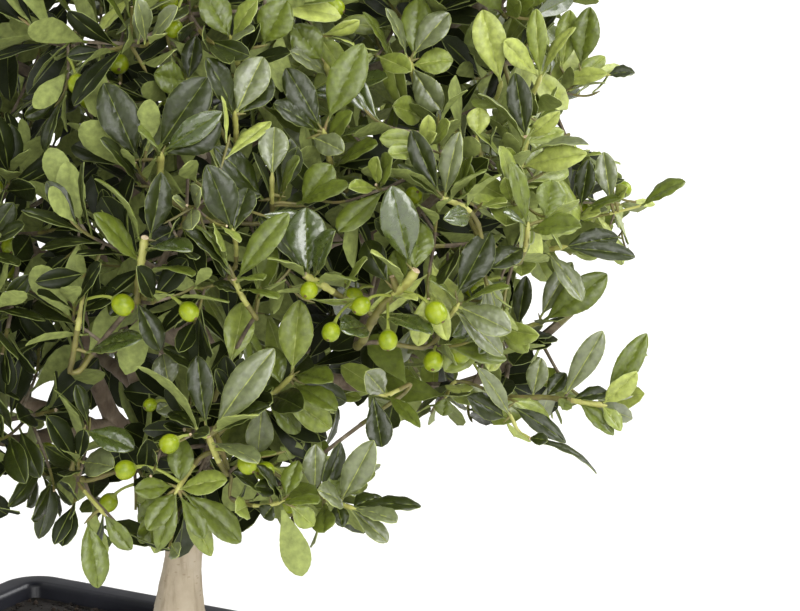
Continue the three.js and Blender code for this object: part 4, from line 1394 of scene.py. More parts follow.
def quads_between(rings, around):
    """Triangles that join rings of equal count, one to the next."""
    i = np.arange(around)
    j = (i + 1) % around
    rows = []
    for k in range(rings - 1):
        low, high = k * around, (k + 1) * around
        rows.append(np.stack([low + i, low + j, high + j], 1))
        rows.append(np.stack([low + i, high + j, high + i], 1))
    return np.concatenate(rows)


def fan(first, around, flip):
    i = np.arange(1, around - 1)
    made = np.stack([np.full_like(i, first), first + i, first + i + 1], 1)
    return made[:, ::-1] if flip else made


def capped(rings, around):
    """Triangles of a row of rings that is closed at both ends."""
    return np.concatenate([
        quads_between(rings, around), fan(0, around, True), fan((rings - 1) * around, around, False),
    ])


def circle(around):
    return np.arange(around) * 2 * math.pi / around


def frames_along(points):
    """Two directions across a path at each of its points."""
    ahead = np.gradient(points, axis=0)
    ahead /= np.linalg.norm(ahead, axis=1)[:, None]
    side = square_to(vec(1, 0, 0) if abs(ahead[0][0]) < 0.9 else vec(0, 1, 0), ahead[0])
    sides = []
    for direction in ahead:
        side = square_to(side, direction)
        sides.append(side)
    sides = np.array(sides)
    return sides, np.cross(ahead, sides)


def tube(points, radii, around, swell=None):
    """A closed tube. swell gives each point's radius from its angle, place and plain radius."""
    sides, acrosses = frames_along(points)
    angle = circle(around)
    reach = np.repeat(np.asarray(radii, float)[:, None], around, axis=1)
    if swell is not None:
        reach = swell(angle, points, reach)
    ring = sides[:, None] * np.cos(angle)[:, None] + acrosses[:, None] * np.sin(angle)[:, None]
    made = (points[:, None] + ring * reach[..., None]).reshape(-1, 3)
    return made, capped(len(points), around)


def mesh_object(name, pile, materials, smooth=40):
    points = (np.concatenate(pile.points) * METRE).astype(np.float32)
    faces = np.concatenate(pile.faces).astype(np.int32)
    mesh = bpy.data.meshes.new(name)
    mesh.vertices.add(len(points))
    mesh.vertices.foreach_set("co", points.ravel())
    mesh.loops.add(len(faces) * 3)
    mesh.loops.foreach_set("vertex_index", faces.ravel())
    mesh.polygons.add(len(faces))
    mesh.polygons.foreach_set("loop_start", np.arange(0, len(faces) * 3, 3, dtype=np.int32))
    mesh.polygons.foreach_set("material_index", np.concatenate(pile.finishes).astype(np.int32))
    mesh.update(calc_edges=True)
    mesh.validate()
    mesh.shade_smooth()
    if smooth:
        mesh.set_sharp_from_angle(angle=math.radians(smooth))
    for material in materials:
        mesh.materials.append(material)
    made = bpy.data.objects.new(name, mesh)
    bpy.context.scene.collection.objects.link(made)
    return made


def piece(name, pile, materials, replaced=(), smooth=40):
    made = mesh_object(name, pile, materials, smooth)
    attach(made, "root")
    if replaced:
        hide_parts(*replaced)
    return made


# Materials

def srgb(r, g, b):
    def linear(c):
        c = c / 255
        return c / 12.92 if c <= 0.04045 else ((c + 0.055) / 1.055) ** 2.4
    return (linear(r), linear(g), linear(b), 1)


class Finish:
    """A material with its Principled shader, and the nodes that vary it."""

    def __init__(self, name, colour, roughness, **sockets):
        self.material = bpy.data.materials.new(name)
        self.material.use_nodes = True
        self.tree = self.material.node_tree
        self.shader = self.tree.nodes["Principled BSDF"]
        self.shader.inputs["Base Color"].default_value = srgb(*colour)
        self.shader.inputs["Roughness"].default_value = roughness
        for label, value in sockets.items():
            self.shader.inputs[label.replace("_", " ")].default_value = value
        self.place = None

    def node(self, kind, **values):
        made = self.tree.nodes.new(kind)
        for label, value in values.items():
            if label in made.inputs:
                made.inputs[label].default_value = value
            else:
                setattr(made, label, value)
        return made

    def pattern(self, kind, output, scale, stretch, **values):
        """A pattern node that reads the object's own coordinates."""
        if self.place is None:
            self.place = self.node("ShaderNodeTexCoord")
        turn = self.node("ShaderNodeMapping")
        turn.inputs["Scale"].default_value = [scale * s for s in stretch]
        self.tree.links.new(self.place.outputs["Object"], turn.inputs["Vector"])
        made = self.node(kind, Scale=1.0, **values)
        self.tree.links.new(turn.outputs["Vector"], made.inputs["Vector"])
        return made.outputs[output]

    def noise(self, scale, detail=3.0, stretch=(1, 1, 1)):
        return self.pattern("ShaderNodeTexNoise", "Fac", scale, stretch, Detail=detail, Roughness=0.55)

    def cells(self, scale, stretch=(1, 1, 1)):
        return self.pattern("ShaderNodeTexVoronoi", "Distance", scale, stretch)

    def ramp(self, source, stops):
        made = self.node("ShaderNodeValToRGB")
        ramp = made.color_ramp
        while len(ramp.elements) < len(stops):
            ramp.elements.new(0.5)
        for element, (at, colour) in zip(ramp.elements, stops):
            element.position = at
            element.color = srgb(*colour)
        self.tree.links.new(source, made.inputs["Fac"])
        return made.outputs["Color"]

    def blend(self, kind, factor, a, b):
        made = self.node("ShaderNodeMix", data_type="RGBA", blend_type=kind)
        for index, value in ((0, factor), (6, a), (7, b)):
            if hasattr(value, "is_output"):
                self.tree.links.new(value, made.inputs[index])
            else:
                made.inputs[index].default_value = value
        return made.outputs[2]

    def colour(self, source):
        self.tree.links.new(source, self.shader.inputs["Base Color"])
        return self

    def rough(self, source, low, high):
        ends = {"From Min": 0.3, "From Max": 0.7, "To Min": low, "To Max": high}
        made = self.node("ShaderNodeMapRange", **ends)
        self.tree.links.new(source, made.inputs["Value"])
        self.tree.links.new(made.outputs["Result"], self.shader.inputs["Roughness"])
        return self

    def bump(self, *layers):
        """Layers of (height, strength, depth in mm)."""
        normal = None
        for source, strength, depth in layers:
            made = self.node("ShaderNodeBump", Strength=strength, Distance=depth * METRE)
            self.tree.links.new(source, made.inputs["Height"])
            if normal is not None:
                self.tree.links.new(normal, made.inputs["Normal"])
            normal = made.outputs["Normal"]
        self.tree.links.new(normal, self.shader.inputs["Normal"])
        return self


def plain_finish(name, colour, roughness, pattern, stops, *relief, **sockets):
    """A material with one noise in its colour, and relief as (noise, strength, depth in mm)."""
    made = Finish(name, colour, roughness, **sockets)
    if stops:
        made.colour(made.ramp(made.noise(*pattern), stops))
    if relief:
        made.bump(*((made.noise(*grain), strength, depth) for grain, strength, depth in relief))
    return made.material


def shaded(colour, low, high):
    """A colour's darker and lighter form, as the stops of a ramp."""
    return [(0.3, tuple(c * low for c in colour)), (0.7, tuple(c * high for c in colour))]


def leaf_finish(name, colour, roughness, specular, coat, coat_rough):
    made = Finish(
        name, colour, roughness, Coat_Weight=coat, Coat_Roughness=coat_rough, Specular_IOR_Level=specular,
    )
    made.colour(made.ramp(made.noise(520, 4), shaded(colour, 0.86, 1.12)))
    made.rough(made.noise(700, 2), roughness - 0.08, roughness + 0.1)
    made.bump((made.noise(420, 2), 0.5, 0.4), (made.noise(1500, 3), 0.35, 0.09))
    return made.material


LEAF_TOPS = {
    # shade: painted shade, for the leaves deep inside the crown and away from its sunny side
    "shade": leaf_finish("leaf_shade", (26, 33, 6), 0.5, 0.2, 0.05, 0.3),
    "dark": leaf_finish("leaf_dark", (40, 48, 11), 0.38, 0.36, 0.18, 0.2),
    "mid": leaf_finish("leaf_mid", (91, 103, 33), 0.4, 0.44, 0.24, 0.24),
    "bright": leaf_finish("leaf_bright", (122, 134, 56), 0.4, 0.42, 0.22, 0.24),
    "young": leaf_finish("leaf_young", (155, 165, 82), 0.42, 0.4, 0.2, 0.26),
    # grey: a lighter, greyer green, partly the dull grey-green of some leaves and partly painted sheen
    "grey": leaf_finish("leaf_grey", (100, 108, 68), 0.38, 0.8, 0.5, 0.22),
    "gloss": leaf_finish("leaf_gloss", (64, 77, 28), 0.3, 0.9, 1.0, 0.16),
}
UNDERSIDE = leaf_finish("leaf_underside", (130, 140, 78), 0.6, 0.2, 0.0, 0.5)
SUNLESS = ("shade", "dark", "gloss", "mid")
# margin and midrib, for the lighter leaves and for those in SUNLESS. The margin's pale line is partly
# the leaf's thin pale edge and partly a painted highlight where the edge catches the light
EDGINGS = [
    [leaf_finish(f"leaf_{part}_{grade}", colour, 0.42, 0.3, 0.1, 0.3) for part, colour in pair]
    for grade, pair in (
        ("light", (("margin", (150, 160, 96)), ("midrib", (150, 158, 88)))),
        ("dark", (("margin", (108, 118, 60)), ("midrib", (92, 102, 44)))),
    )
]

ALONG = (1, 1, 0.35)
GREEN_STEM = plain_finish(
    "green_stem", (168, 166, 92), 0.45,
    (300,), [(0.3, (140, 132, 70)), (0.5, (168, 168, 90)), (0.75, (184, 182, 112))],
    ((900, 3, ALONG), 0.5, 0.15),
)
YOUNG_WOOD = plain_finish(
    "young_wood", (110, 104, 54), 0.55,
    (260,), [(0.3, (84, 78, 38)), (0.55, (112, 108, 52)), (0.75, (122, 104, 66))],
    ((900, 3, ALONG), 0.5, 0.15),
)
OLD_WOOD = plain_finish(
    "old_wood", (96, 84, 66), 0.8,
    (220, 4), [(0.28, (62, 52, 40)), (0.5, (98, 86, 68)), (0.72, (138, 128, 110))],
    ((700, 4, (1, 1, 0.4)), 0.7, 0.25),
)
CUT_WOOD = plain_finish(
    "cut_wood", (184, 164, 132), 0.8, (900,), [(0.3, (158, 132, 98)), (0.6, (196, 178, 148))],
)

WHITE = (255, 255, 255)
bark = Finish("bark", (190, 175, 150), 0.85)
mottle = bark.ramp(
    bark.noise(60, 5), [(0.3, (164, 148, 124)), (0.5, (190, 176, 152)), (0.7, (208, 196, 176))],
)
streaks = bark.ramp(bark.noise(420, 4, (1, 1, 0.16)), [(0.3, (164, 150, 130)), (0.5, WHITE)])
specks = bark.ramp(
    bark.cells(300, (1, 1, 2.2)), [(0.0, (120, 102, 82)), (0.12, (186, 168, 144)), (0.2, WHITE)],
)
bark.colour(bark.blend("MULTIPLY", 0.35, bark.blend("MULTIPLY", 0.45, mottle, streaks), specks))
bark.rough(bark.noise(200, 3), 0.72, 0.95)
bark.bump((bark.noise(300, 4, (1, 1, 0.2)), 0.5, 0.35), (bark.noise(1400, 4), 0.4, 0.12))

# The boughs' bark is darker than the trunk's: painted shade, as the boughs lie in the crown's shade
limb = Finish("limb_bark_painted_shade", (112, 97, 80), 0.85)
patches = limb.ramp(limb.noise(110, 5), [(0.3, (82, 68, 54)), (0.5, (112, 97, 80)), (0.72, (156, 142, 122))])
grooves = limb.ramp(limb.noise(600, 4, (1, 1, 0.3)), [(0.3, (150, 136, 118)), (0.5, WHITE)])
limb.colour(limb.blend("MULTIPLY", 0.5, patches, grooves))
limb.bump((limb.noise(380, 4, (1, 1, 0.3)), 0.5, 0.3), (limb.noise(1500, 4), 0.4, 0.1))

FRUIT = plain_finish(
    "fruit", (130, 146, 14), 0.36, (420, 3), [(0.3, (112, 130, 10)), (0.6, (138, 152, 20))],
    ((1600, 2), 0.15, 0.06),
    Coat_Weight=0.16, Coat_Roughness=0.12, Specular_IOR_Level=0.35,
)
STIGMA = plain_finish("stigma", (92, 74, 40), 0.8, None, None, ((2600, 2), 0.5, 0.1))
STALK_GREEN = plain_finish("stalk_green", (138, 148, 62), 0.5, None, None, ((1800, 2), 0.3, 0.06))

glaze = Finish("glaze", (26, 28, 36), 0.36, Coat_Weight=0.12, Coat_Roughness=0.16, Specular_IOR_Level=0.3)
tint = glaze.ramp(glaze.noise(26, 5), [(0.3, (19, 20, 27)), (0.5, (28, 29, 37)), (0.7, (40, 41, 50))])
fleck = glaze.ramp(glaze.cells(420), [(0.0, (92, 84, 78)), (0.09, WHITE)])
glaze.colour(glaze.blend("MULTIPLY", 0.5, tint, fleck))
glaze.rough(glaze.noise(90, 3), 0.3, 0.44)
glaze.bump((glaze.noise(55, 3), 0.25, 0.5), (glaze.noise(900, 2), 0.12, 0.1))
CLAY = plain_finish(
    "clay", (92, 70, 58), 0.9, (160, 5), [(0.3, (70, 52, 44)), (0.6, (104, 82, 68))], ((900, 4), 0.5, 0.2),
)
EARTH = [
    plain_finish(f"earth_{name}", colour, 0.95, (600, 4), shaded(colour, 0.7, 1.3), ((1300, 4), 0.8, 0.3))
    for name, colour in (("dark", (30, 25, 21)), ("brown", (46, 36, 28)), ("grit", (78, 66, 54)))
]


# Leaves, as one grid moved to each leaf's place

BLADE, UNDER, MARGIN, MIDRIB = range(4)  # the finishes of a leaf's faces


def blade_grid(stations, halves):
    """A leaf's closed grid: each column's kind and place across, with faces and finishes.
    halves is how many strips lie between rim and midrib."""
    strips = range(1, halves)
    columns = [
        ("edge", -1.0), ("top", -1.0), *(("lamina", k / halves - 1) for k in strips), ("rib", -1.0),
        ("rib", 1.0), *(("lamina", k / halves) for k in strips), ("top", 1.0), ("edge", 1.0), ("under", 0.0),
    ]
    around = len(columns)
    across = np.tile(np.arange(around), (len(stations) - 1) * 2)
    finish = np.full(len(across), BLADE)
    finish[(across == 0) | (across == around - 3)] = MARGIN
    finish[across >= around - 2] = UNDER
    finish[across == 1 + halves] = MIDRIB
    row = np.repeat(np.arange(len(stations) - 1), around * 2)
    finish[np.array(stations)[row] < LEAF["petiole"] - 1e-6] = MIDRIB
    finishes = np.concatenate([finish, np.full(2 * (around - 2), MIDRIB)])
    return columns, capped(len(stations), around), finishes


def blade_lift(place, half, blade, rows, quilted):
    """How far the blade's upper side swells between rim and midrib, at one column."""
    crown = (4 * abs(place) * (1 - abs(place))) ** 1.5
    pillow = 1 - np.abs(np.cos(math.pi * LEAF["veins"] * (blade - LEAF["vein_slant"] * abs(place))))
    bulge = LEAF["bulge"] * np.minimum(half / LEAF["full_bulge"], 1)
    lift = (bulge + LEAF["quilt"] * pillow * quilted) * crown
    phase = 9 * rows["twist"] + 17 * place
    short, long = LEAF["waves"]
    waves = np.sin(blade * short + phase) * np.sin(blade * long - 2.3 * phase)
    return lift + LEAF["mottle"] * quilted * waves * (half > 1)


def blade_points(kept, stations, columns, teeth):
    """Every point of the leaves in kept, as an array (leaves, points, 3)."""
    rows = {name: kept[name][:, None] for name in ("half", "shape", "length", "bow", "curl", "twist", "fold")}
    t = np.array(stations)
    blade = np.clip((t - LEAF["petiole"]) / (1 - LEAF["petiole"]), 0, 1)
    elliptic, obovate = (np.interp(blade, *zip(*LEAF[name])) for name in ("elliptic", "obovate"))
    toothed = (blade > LEAF["toothed"][0]) & (blade < LEAF["toothed"][1])
    tooth = np.where((np.arange(len(t)) % 2 == 0) & toothed, 1 - teeth, 1.0)
    half = rows["half"] * (elliptic + (obovate - elliptic) * rows["shape"]) * tooth
    half = np.maximum(half, LEAF["least_half"] + LEAF["petiole_half"] * (blade == 0))
    thick = LEAF["thickness"] * np.where(t < LEAF["petiole"] + 1e-6, LEAF["petiole_thick"], 1.0)
    arch = LEAF["arch"] * rows["length"] + LEAF["bow"] * rows["bow"]
    curl = -rows["curl"] * rows["length"] * blade**2 + arch * blade * (1 - blade)
    quilted = (teeth > 0) * np.minimum(rows["half"] / LEAF["full_quilt"], 1) ** 3
    inner = np.maximum(half - LEAF["rim"], half * LEAF["rim_share"])
    rib = np.minimum(LEAF["rib"] * (1 - LEAF["rib_taper"] * blade), half * LEAF["rib_share"])
    ys, zs = [], []
    for kind, place in columns:
        width, lift = {
            "edge": (half, -0.5 * thick), "under": (half, -thick * LEAF["under"]), "top": (inner, 0.0),
            "rib": (rib, -LEAF["rib_sunk"] * (half > 1)),
            "lamina": (inner, blade_lift(place, half, blade, rows, quilted)),
        }[kind]
        y = place * width
        fold = rows["fold"] * np.abs(y) * (1 - LEAF["fold_fade"] * np.abs(y) / np.maximum(half, 0.1))
        phase = blade * LEAF["ripples"] + 4 * rows["twist"] + 2 * np.sign(place)
        ripple = np.sin(phase) * (np.abs(place) == 1)
        ys.append(y)
        zs.append(curl + fold + lift + LEAF["ripple"] * ripple * (half > 1))
    y, z = np.stack(ys, axis=-1), np.stack(zs, axis=-1)
    x = np.broadcast_to((t * rows["length"])[..., None], y.shape)
    twist = np.radians(rows["twist"])[..., None] * blade[:, None]
    y, z = y * np.cos(twist) - z * np.sin(twist), y * np.sin(twist) + z * np.cos(twist)
    made = kept["foot"][:, None, :]
    for measure, name in ((x, "along"), (y, "side"), (z, "face")):
        made = made + measure.reshape(len(x), -1)[..., None] * kept[name][:, None, :]
    return made


# Stations along the blade, strips in half of it, and the depth of its teeth, by how closely it is seen
GRIDS = {
    -1: ([0, 0.1, 0.3, 0.52, 0.75, 0.92, 1], 1, 0),
    0: ([0, 0.1, 0.22, 0.38, 0.55, 0.72, 0.86, 0.95, 1], 2, 0),
    1: ([0, 0.06, 0.1] + [0.1 + 0.9 * (k + 1) / 26 for k in range(26)], 5, 0.018),
}
HIGH = dict(leaf=140, mass=120)  # above the trunk's foot, a leaf or a mass's middle is in the high half


def foliage():
    """Leaves by tone, low half and high half of the crown apart."""
    high = LEAVES["middle"][:, 2] > FOOT[2] + HIGH["leaf"]
    for index, tone in enumerate(TONES):
        for part, level in (("low", ~high), ("high", high)):
            pile = Pile()
            for fine, (stations, halves, teeth) in GRIDS.items():
                pick = (LEAVES["tone"] == index) & level & (LEAVES["fine"] == fine)
                if not pick.any():
                    continue
                columns, faces, sides = blade_grid(stations, halves)
                kept = {name: LEAVES[name][pick] for name in LEAVES.rows}
                for points in blade_points(kept, stations, columns, teeth):
                    pile.add(points, faces, sides)
            if not pile.count:
                continue
            finishes = [LEAF_TOPS[tone], UNDERSIDE, *EDGINGS[tone in SUNLESS]]
            masses = [
                f"leaves_{m['name']}" for m in MASSES
                if (m["centre"][2] > FOOT[2] + HIGH["mass"]) == (part == "high")
            ]
            piece(f"leaves_{tone}_{part}", pile, finishes, masses, 50)


foliage()


# Twigs, stalks and berries

OLD, YOUNG, CUT, GREEN = range(4)  # the finishes of a twig's faces


def knobs(back):
    """How much a twig swells at its leaf scars, from the way back from its tip."""
    scars = np.cumsum(LEAF["steps"])
    swell = sum(np.exp(-(((back - scar) / TWIG["knob_width"]) ** 2)) for scar in scars)
    return 1 + TWIG["knob"] * swell


def twig_shape(points, radii, young, cut):
    """A twig's points, faces and finishes. young is 0 for a twig that grew by the rule."""
    around = 10 if young else 5
    path = catmull_rom(list(points), 8)
    reach = float(np.linalg.norm(np.diff(path, axis=0), axis=1).sum())
    smooth = spaced(path, max(6, round(reach / TWIG["ring"])) if young else max(8, len(points) + 2))
    at = np.linspace(0, 1, len(smooth))
    radius = np.interp(at, np.linspace(0, 1, len(points)), radii)
    back = (1 - at) * float(np.linalg.norm(np.diff(smooth, axis=0), axis=1).sum())
    if young:
        radius = radius * knobs(back)
    past, share = TWIG["cut_end" if cut else "bud"]
    smooth = np.concatenate([smooth, smooth[-1:] + unit(smooth[-1] - smooth[-2]) * past])
    made, faces = tube(smooth, np.concatenate([radius, radius[-1:] * share]), around)
    ring = np.minimum(faces.min(axis=1) // around, len(smooth) - 1)
    from_tip = np.concatenate([back, [0]])[ring]
    finishes = np.where(from_tip < TWIG["young"] + 3 * young, GREEN if young > 0.5 else YOUNG, OLD)
    finishes[(finishes == OLD) & (young > 0) & (from_tip < TWIG["young_wood"])] = YOUNG
    finishes[-(around - 2):] = CUT if cut else YOUNG
    return made, faces, finishes


twigs = Pile()
for row in filter(None, TWIGS):
    twigs.add(*twig_shape(*row))
piece("twigs", twigs, [OLD_WOOD, YOUNG_WOOD, CUT_WOOD, GREEN_STEM])

stalks = Pile()
stalk_radii = np.array([0.5, 0.42, 0.38, 0.38, 0.42, 0.62]) * BERRY["stalk_radius"] / 0.42
for points in STALKS:
    stalks.add(*tube(points, stalk_radii, 6), 0)
piece("berry_stalks", stalks, [STALK_GREEN])


def berry_shape(around=14, rings=9):
    """A berry of unit radius about its own axis, with its calyx and stigma."""
    skin, calyx, stigma = range(3)
    profile = [(0.12, -1.16, calyx), (0.32, -1.1, calyx), (0.4, -1.0, calyx)]
    for k in range(1, rings):
        a = math.pi * (0.12 + 0.79 * k / rings)
        profile.append((math.sin(a) * (1 + 0.03 * math.cos(2 * a)), -math.cos(a) * 1.06, skin))
    profile += [(0.17, 1.0, stigma), (0.15, 1.07, stigma), (0.05, 1.06, stigma)]
    turn = circle(around)
    points = [np.stack([r * np.cos(turn), r * np.sin(turn), np.full(around, z)], 1) for r, z, _ in profile]
    faces = capped(len(profile), around)
    return np.concatenate(points), faces, np.array([f for _, _, f in profile])[faces.min(axis=1) // around]


berries = Pile()
shape_points, shape_faces, shape_finishes = berry_shape()
for centre, radius, axis in zip(BERRIES["centre"], BERRIES["radius"], BERRIES["axis"]):
    side = square_to(ASIDE, axis)
    basis = np.stack([side, np.cross(axis, side), axis])
    berries.add(centre + radius * shape_points @ basis, shape_faces, shape_finishes)
piece("berries", berries, [FRUIT, STALK_GREEN, STIGMA], (), 60)


# Trunk and boughs, with the bark's relief

BARK = dict(
    trunk_steps=240, trunk_around=72, trunk_depth=0.5, steps=60, around=18, depth=0.4, collar=0.45, fade=5,
)


def relief(points, scale, stretch):
    """Noise at each point of an array, drawn out along Z."""
    scaled = points * scale * vec(1, 1, stretch)
    return np.array([noise.fractal(Vector(point), 0.9, 2.1, 4) for point in scaled])


def trunk_swell(angle, points, reach):
    share = np.clip(1 - (points[:, 2] - SOIL_TOP) / TRUNK["root_height"], 0, 1)[:, None]
    lobes = 0.5 + 0.5 * np.cos(TRUNK["roots"] * angle + TRUNK["root_turn"])[None]
    return reach * (1 + TRUNK["root_spread"] * share**2 * lobes)


def roughened(points, radii, around, depth, swell=None):
    """A tube whose surface is moved in and out by the bark's relief."""
    made, faces = tube(points, radii, around, swell)
    out = made - np.repeat(points, around, axis=0)
    reach = np.linalg.norm(out, axis=1)[:, None]
    move = relief(made, 0.22, 0.22) * 0.7 + relief(made, 0.9, 0.3) * 0.35
    return made + out / reach * (move * depth)[:, None], faces


trunk_pile = Pile()
bark_points, bark_faces = roughened(
    *trunk_limb(BARK["trunk_steps"]), BARK["trunk_around"], BARK["trunk_depth"], trunk_swell,
)
bark_points[:, 2] = np.maximum(bark_points[:, 2], SOIL_TOP - 3)
trunk_pile.add(bark_points, bark_faces, 0)
piece("trunk_bark", trunk_pile, [bark.material], ["trunk"], 0)

bough_pile = Pile()
for mass in MASSES:
    if mass["name"] not in boughs:
        continue
    start = boughs[mass["name"]][0][0]
    base = BOUGH["base"] if mass["source"] == "trunk" else BOUGH["side_base"]
    points, radii = bough_limb(start, mass, base, BARK["steps"])
    away = np.linspace(0, 1, BARK["steps"] + 1) * float(np.linalg.norm(points[-1] - start))
    collar = 1 + BARK["collar"] * np.exp(-away / BARK["fade"])
    bough_pile.add(*roughened(points, radii * collar, BARK["around"], BARK["depth"]), 0)
piece("bough_bark", bough_pile, [limb.material], [f"bough_{name}" for name in boughs], 0)


# Pot and soil

def pot_ring(inset, height):
    length, width = POT["length"] - 2 * inset, POT["width"] - 2 * inset
    radius = max(POT["corner"] - inset, 2)
    ring = []
    for quarter, (sx, sy) in enumerate(((1, 1), (-1, 1), (-1, -1), (1, -1))):
        for step in range(POT["corner_steps"] + 1):
            a = (quarter + step / POT["corner_steps"]) * math.pi / 2
            x, y = sx * (length / 2 - radius), sy * (width / 2 - radius)
            ring.append((x + radius * math.cos(a), y + radius * math.sin(a), height))
    return np.array(ring)


def wall_inset(height):
    share = (POT["height"] - height) / (POT["height"] - POT["foot_height"])
    return POT["rim_proud"] + (POT["batter"] - POT["rim_proud"]) * share


def rounded(corners, steps=4):
    """A polyline of (inset, height, radius) with each corner turned into an arc."""
    made = [corners[0][:2]]
    for before, here, after in zip(corners, corners[1:], corners[2:]):
        p, a, b = (np.array(c[:2], float) for c in (here, before, after))
        reach = min(here[2], np.linalg.norm(a - p) / 2, np.linalg.norm(b - p) / 2)
        start, end = p + unit(a - p) * reach, p + unit(b - p) * reach
        for t in np.linspace(0, 1, steps + 1):
            made.append(tuple((1 - t) ** 2 * start + 2 * t * (1 - t) * p + t**2 * end))
    return [*made, corners[-1][:2]]


def loft(pile, rings, finish=0):
    around = len(rings[0])
    pile.add(np.concatenate(rings), capped(len(rings), around), finish)


height, foot, floor, edge = (POT[name] for name in ("height", "foot_height", "floor", "edge"))
rim_foot = height - POT["rim_depth"]


def inner(z):
    """How far the wall's inner side lies inside the pot's plan."""
    return wall_inset(z) + POT["wall"]


profile = rounded([
    (POT["foot_inset"] + 6, 0, 0),
    (POT["foot_inset"], 0, edge), (POT["foot_inset"], foot, 0.8), (wall_inset(foot), foot, edge),
    (wall_inset(rim_foot), rim_foot, 1.2), (0, rim_foot + 0.6, 1.2), (0, height, 2.0),
    (inner(height), height, 2.0), (inner(floor), floor, 2.5), (inner(floor) + 5, floor, 0),
])
pot_pile = Pile()
loft(pot_pile, [pot_ring(inset, z) for inset, z in profile])
pot_body = piece("pot_body", pot_pile, [glaze.material, CLAY], ["pot"], 50)
turn = circle(48)
hole = POT["drain_radius"] * np.stack([np.cos(turn), np.sin(turn), 0 * turn], 1)
for side in (-1, 1):
    drill = Pile()
    loft(drill, [hole + vec(side * POT["drain_spacing"] / 2, 0, z) for z in (-5, 25)])
    tool = mesh_object("drill", drill, [])
    cut = pot_body.modifiers.new("drain", "BOOLEAN")
    cut.object, cut.operation, cut.solver = tool, "DIFFERENCE", "EXACT"
    bpy.context.view_layer.objects.active = pot_body
    with bpy.context.temp_override(object=pot_body, active_object=pot_body, selected_objects=[pot_body]):
        bpy.ops.object.modifier_apply(modifier="drain")
    bpy.data.objects.remove(tool)
for polygon in pot_body.data.polygons:  # bare clay on the underside
    if polygon.center.z < 0.6 * foot * METRE and polygon.normal.z < -0.5:
        polygon.material_index = 1

SOIL_EDGE = POT["height"] - SOIL["below_rim"]
SOIL_HALF = vec(POT["length"], POT["width"]) / 2 - inner(SOIL_EDGE) - CLEARANCE
GRAINS = dict(
    count=1800, sizes=(0.45, 1.25), power=1.5, shares=(0.5, 0.38, 0.12), lumpy=(0.75, 1.2),
    stretched=(0.7, 1.2), sunk=0.3, rings=40,
)



def soil_height(x, y):
    """Height of the soil over the pot's plan: level at the wall, and raised round the tree's foot."""
    dx, dy = x - TRUNK["foot"][0], y - TRUNK["foot"][1]
    room_x = np.where(dx > 0, SOIL_HALF[0] - TRUNK["foot"][0], SOIL_HALF[0] + TRUNK["foot"][0])
    room_y = np.where(dy > 0, SOIL_HALF[1] - TRUNK["foot"][1], SOIL_HALF[1] + TRUNK["foot"][1])
    share = np.maximum(np.abs(dx) / room_x, np.abs(dy) / room_y)
    rise = np.clip(1 - (share - SOIL["flat_share"]) / (1 - SOIL["flat_share"]), 0, 1)
    return SOIL_EDGE + SOIL["mound"] * rise**2 * (3 - 2 * rise)


def soil_bed(pile):
    """The body of the soil, with a bumpy top."""
    low = floor + CLEARANCE
    wall = inner(low) + CLEARANCE
    rings = [pot_ring(wall + edge, low), pot_ring(wall, low + edge)]
    rings.append(pot_ring(inner(SOIL_EDGE) + CLEARANCE, SOIL_EDGE))
    rim = rings[-1]
    middle = vec(*TRUNK["foot"], 0)
    for k in range(1, GRAINS["rings"]):
        ring = rim + (middle - rim) * vec(1, 1, 0) * (k / GRAINS["rings"])
        ring[:, 2] = soil_height(ring[:, 0], ring[:, 1]) - GRAINS["sunk"]
        ring[:, 2] += np.clip(relief(ring, 0.3, 1) * 0.5, -0.8, 0.6)
        rings.append(ring)
    loft(pile, rings)


def icosahedron():
    golden = (1 + 5**0.5) / 2
    points = np.array([
        (-1, golden, 0), (1, golden, 0), (-1, -golden, 0), (1, -golden, 0), (0, -1, golden), (0, 1, golden),
        (0, -1, -golden), (0, 1, -golden), (golden, 0, -1), (golden, 0, 1), (-golden, 0, -1), (-golden, 0, 1),
    ])
    return points / math.hypot(1, golden), np.array([
        (0, 11, 5), (0, 5, 1), (0, 1, 7), (0, 7, 10), (0, 10, 11), (1, 5, 9), (5, 11, 4), (11, 10, 2),
        (10, 7, 6), (7, 1, 8), (3, 9, 4), (3, 4, 2), (3, 2, 6), (3, 6, 8), (3, 8, 9), (4, 9, 5), (2, 4, 11),
        (6, 2, 10), (8, 6, 7), (9, 8, 1),
    ])


def soil_grains(pile):
    ball, sides = icosahedron()
    rng = np.random.default_rng(SEEDS["soil"])
    count = GRAINS["count"]
    places = rng.uniform(-1, 1, (count, 2)) * SOIL_HALF
    sizes = rng.uniform(*GRAINS["sizes"], count) ** GRAINS["power"]
    for place, size, tone in zip(places, sizes, rng.choice(len(EARTH), count, p=GRAINS["shares"])):
        room = SOIL_HALF - (size + 0.4)
        place = np.clip(place, -room, room)
        if np.all(np.abs(place) > SOIL_HALF - 4):  # the pot's corners are round
            continue
        lump = ball * rng.uniform(*GRAINS["lumpy"], (12, 1)) * size * rng.uniform(*GRAINS["stretched"], 3)
        z = float(soil_height(*place)) - GRAINS["sunk"] + size * 0.25
        pile.add(lump + vec(*place, z), sides, int(tone))


soil = Pile()
soil_bed(soil)
soil_grains(soil)
piece("soil_grains", soil, EARTH, ["soil"], 30)


# Stage: floor, light and camera

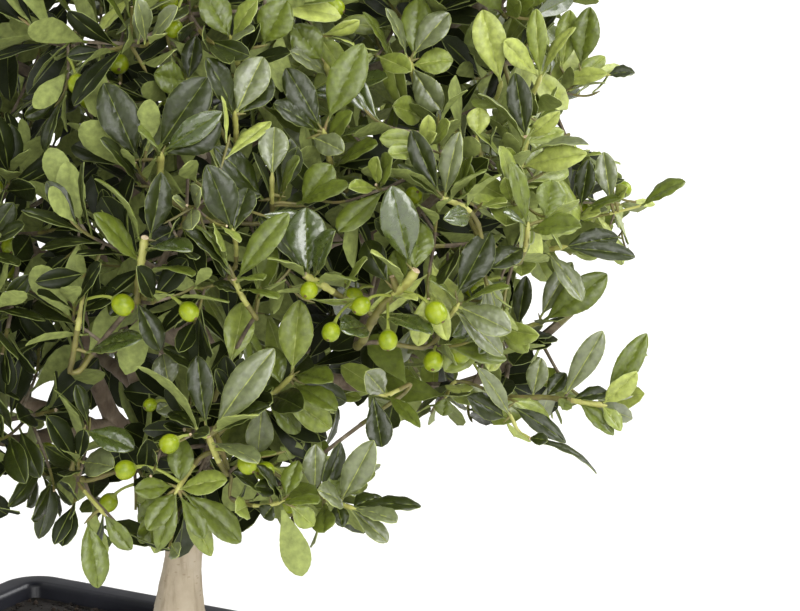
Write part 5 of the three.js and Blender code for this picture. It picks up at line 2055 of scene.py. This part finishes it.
FLOOR = dict(radius=20000, around=96)
WORLD_STRENGTH = 0.36
LAMPS = [
    # where the light comes from (aside, toward the camera, up), the angle that it fills and its strength
    ("front", (0.38, 0.87, 0.34), 44, 2.5),
    ("sheen", (-0.3, 0.93, 0.3), 26, 0.5),
    ("top", (0.1, 0.4, 1), 45, 1.1),
    ("rim", (0.95, -0.3, 0.75), 40, 2.3),
    ("fill", (-0.85, -0.45, 0.5), 60, 0.7),
]


def floor_disc():
    paper = Finish("floor", (248, 247, 246), 0.9)
    paper.colour(paper.ramp(paper.noise(3, 2), [(0.3, (246, 245, 244)), (0.7, (250, 249, 248))]))
    turn, i = circle(FLOOR["around"]), np.arange(FLOOR["around"])
    ring = np.stack([np.cos(turn), np.sin(turn), 0 * turn], 1) * FLOOR["radius"]
    disc = Pile()
    disc.add(np.concatenate([vec(0, 0, 0)[None], ring]), np.stack([0 * i, 1 + i, 1 + (i + 1) % len(i)], 1), 0)
    made = mesh_object("floor", disc, [paper.material], 0)
    made.location.z = -0.0002


def studio_light():
    world = bpy.data.worlds.new("studio")
    world.use_nodes = True
    world.node_tree.nodes["Background"].inputs["Color"].default_value = (1, 1, 1, 1)
    world.node_tree.nodes["Background"].inputs["Strength"].default_value = WORLD_STRENGTH
    bpy.context.scene.world = world
    for name, (aside, toward, up), angle, strength in LAMPS:
        light = bpy.data.lights.new(name, "SUN")
        light.angle, light.energy = math.radians(angle), strength
        lamp = bpy.data.objects.new(name, light)
        direction = Vector(ASIDE * aside + TOWARD * toward + UP * up)
        lamp.location = direction
        lamp.rotation_mode = "QUATERNION"
        lamp.rotation_quaternion = direction.to_track_quat("Z", "Y")
        bpy.context.scene.collection.objects.link(lamp)


def photo_camera():
    data = bpy.data.cameras.new("camera")
    data.lens, data.sensor_width = LENS, SENSOR
    data.clip_start, data.clip_end = 0.05, 50
    camera = bpy.data.objects.new("camera", data)
    camera.location = Vector(EYE * METRE)
    camera.rotation_mode = "QUATERNION"
    camera.rotation_quaternion = Vector(-BACK).to_track_quat("-Z", "Y")
    bpy.context.scene.collection.objects.link(camera)
    bpy.context.scene.camera = camera


floor_disc()
studio_light()
photo_camera()
bpy.context.scene.view_settings.view_transform = "Standard"
bpy.context.scene.view_settings.look = "None"
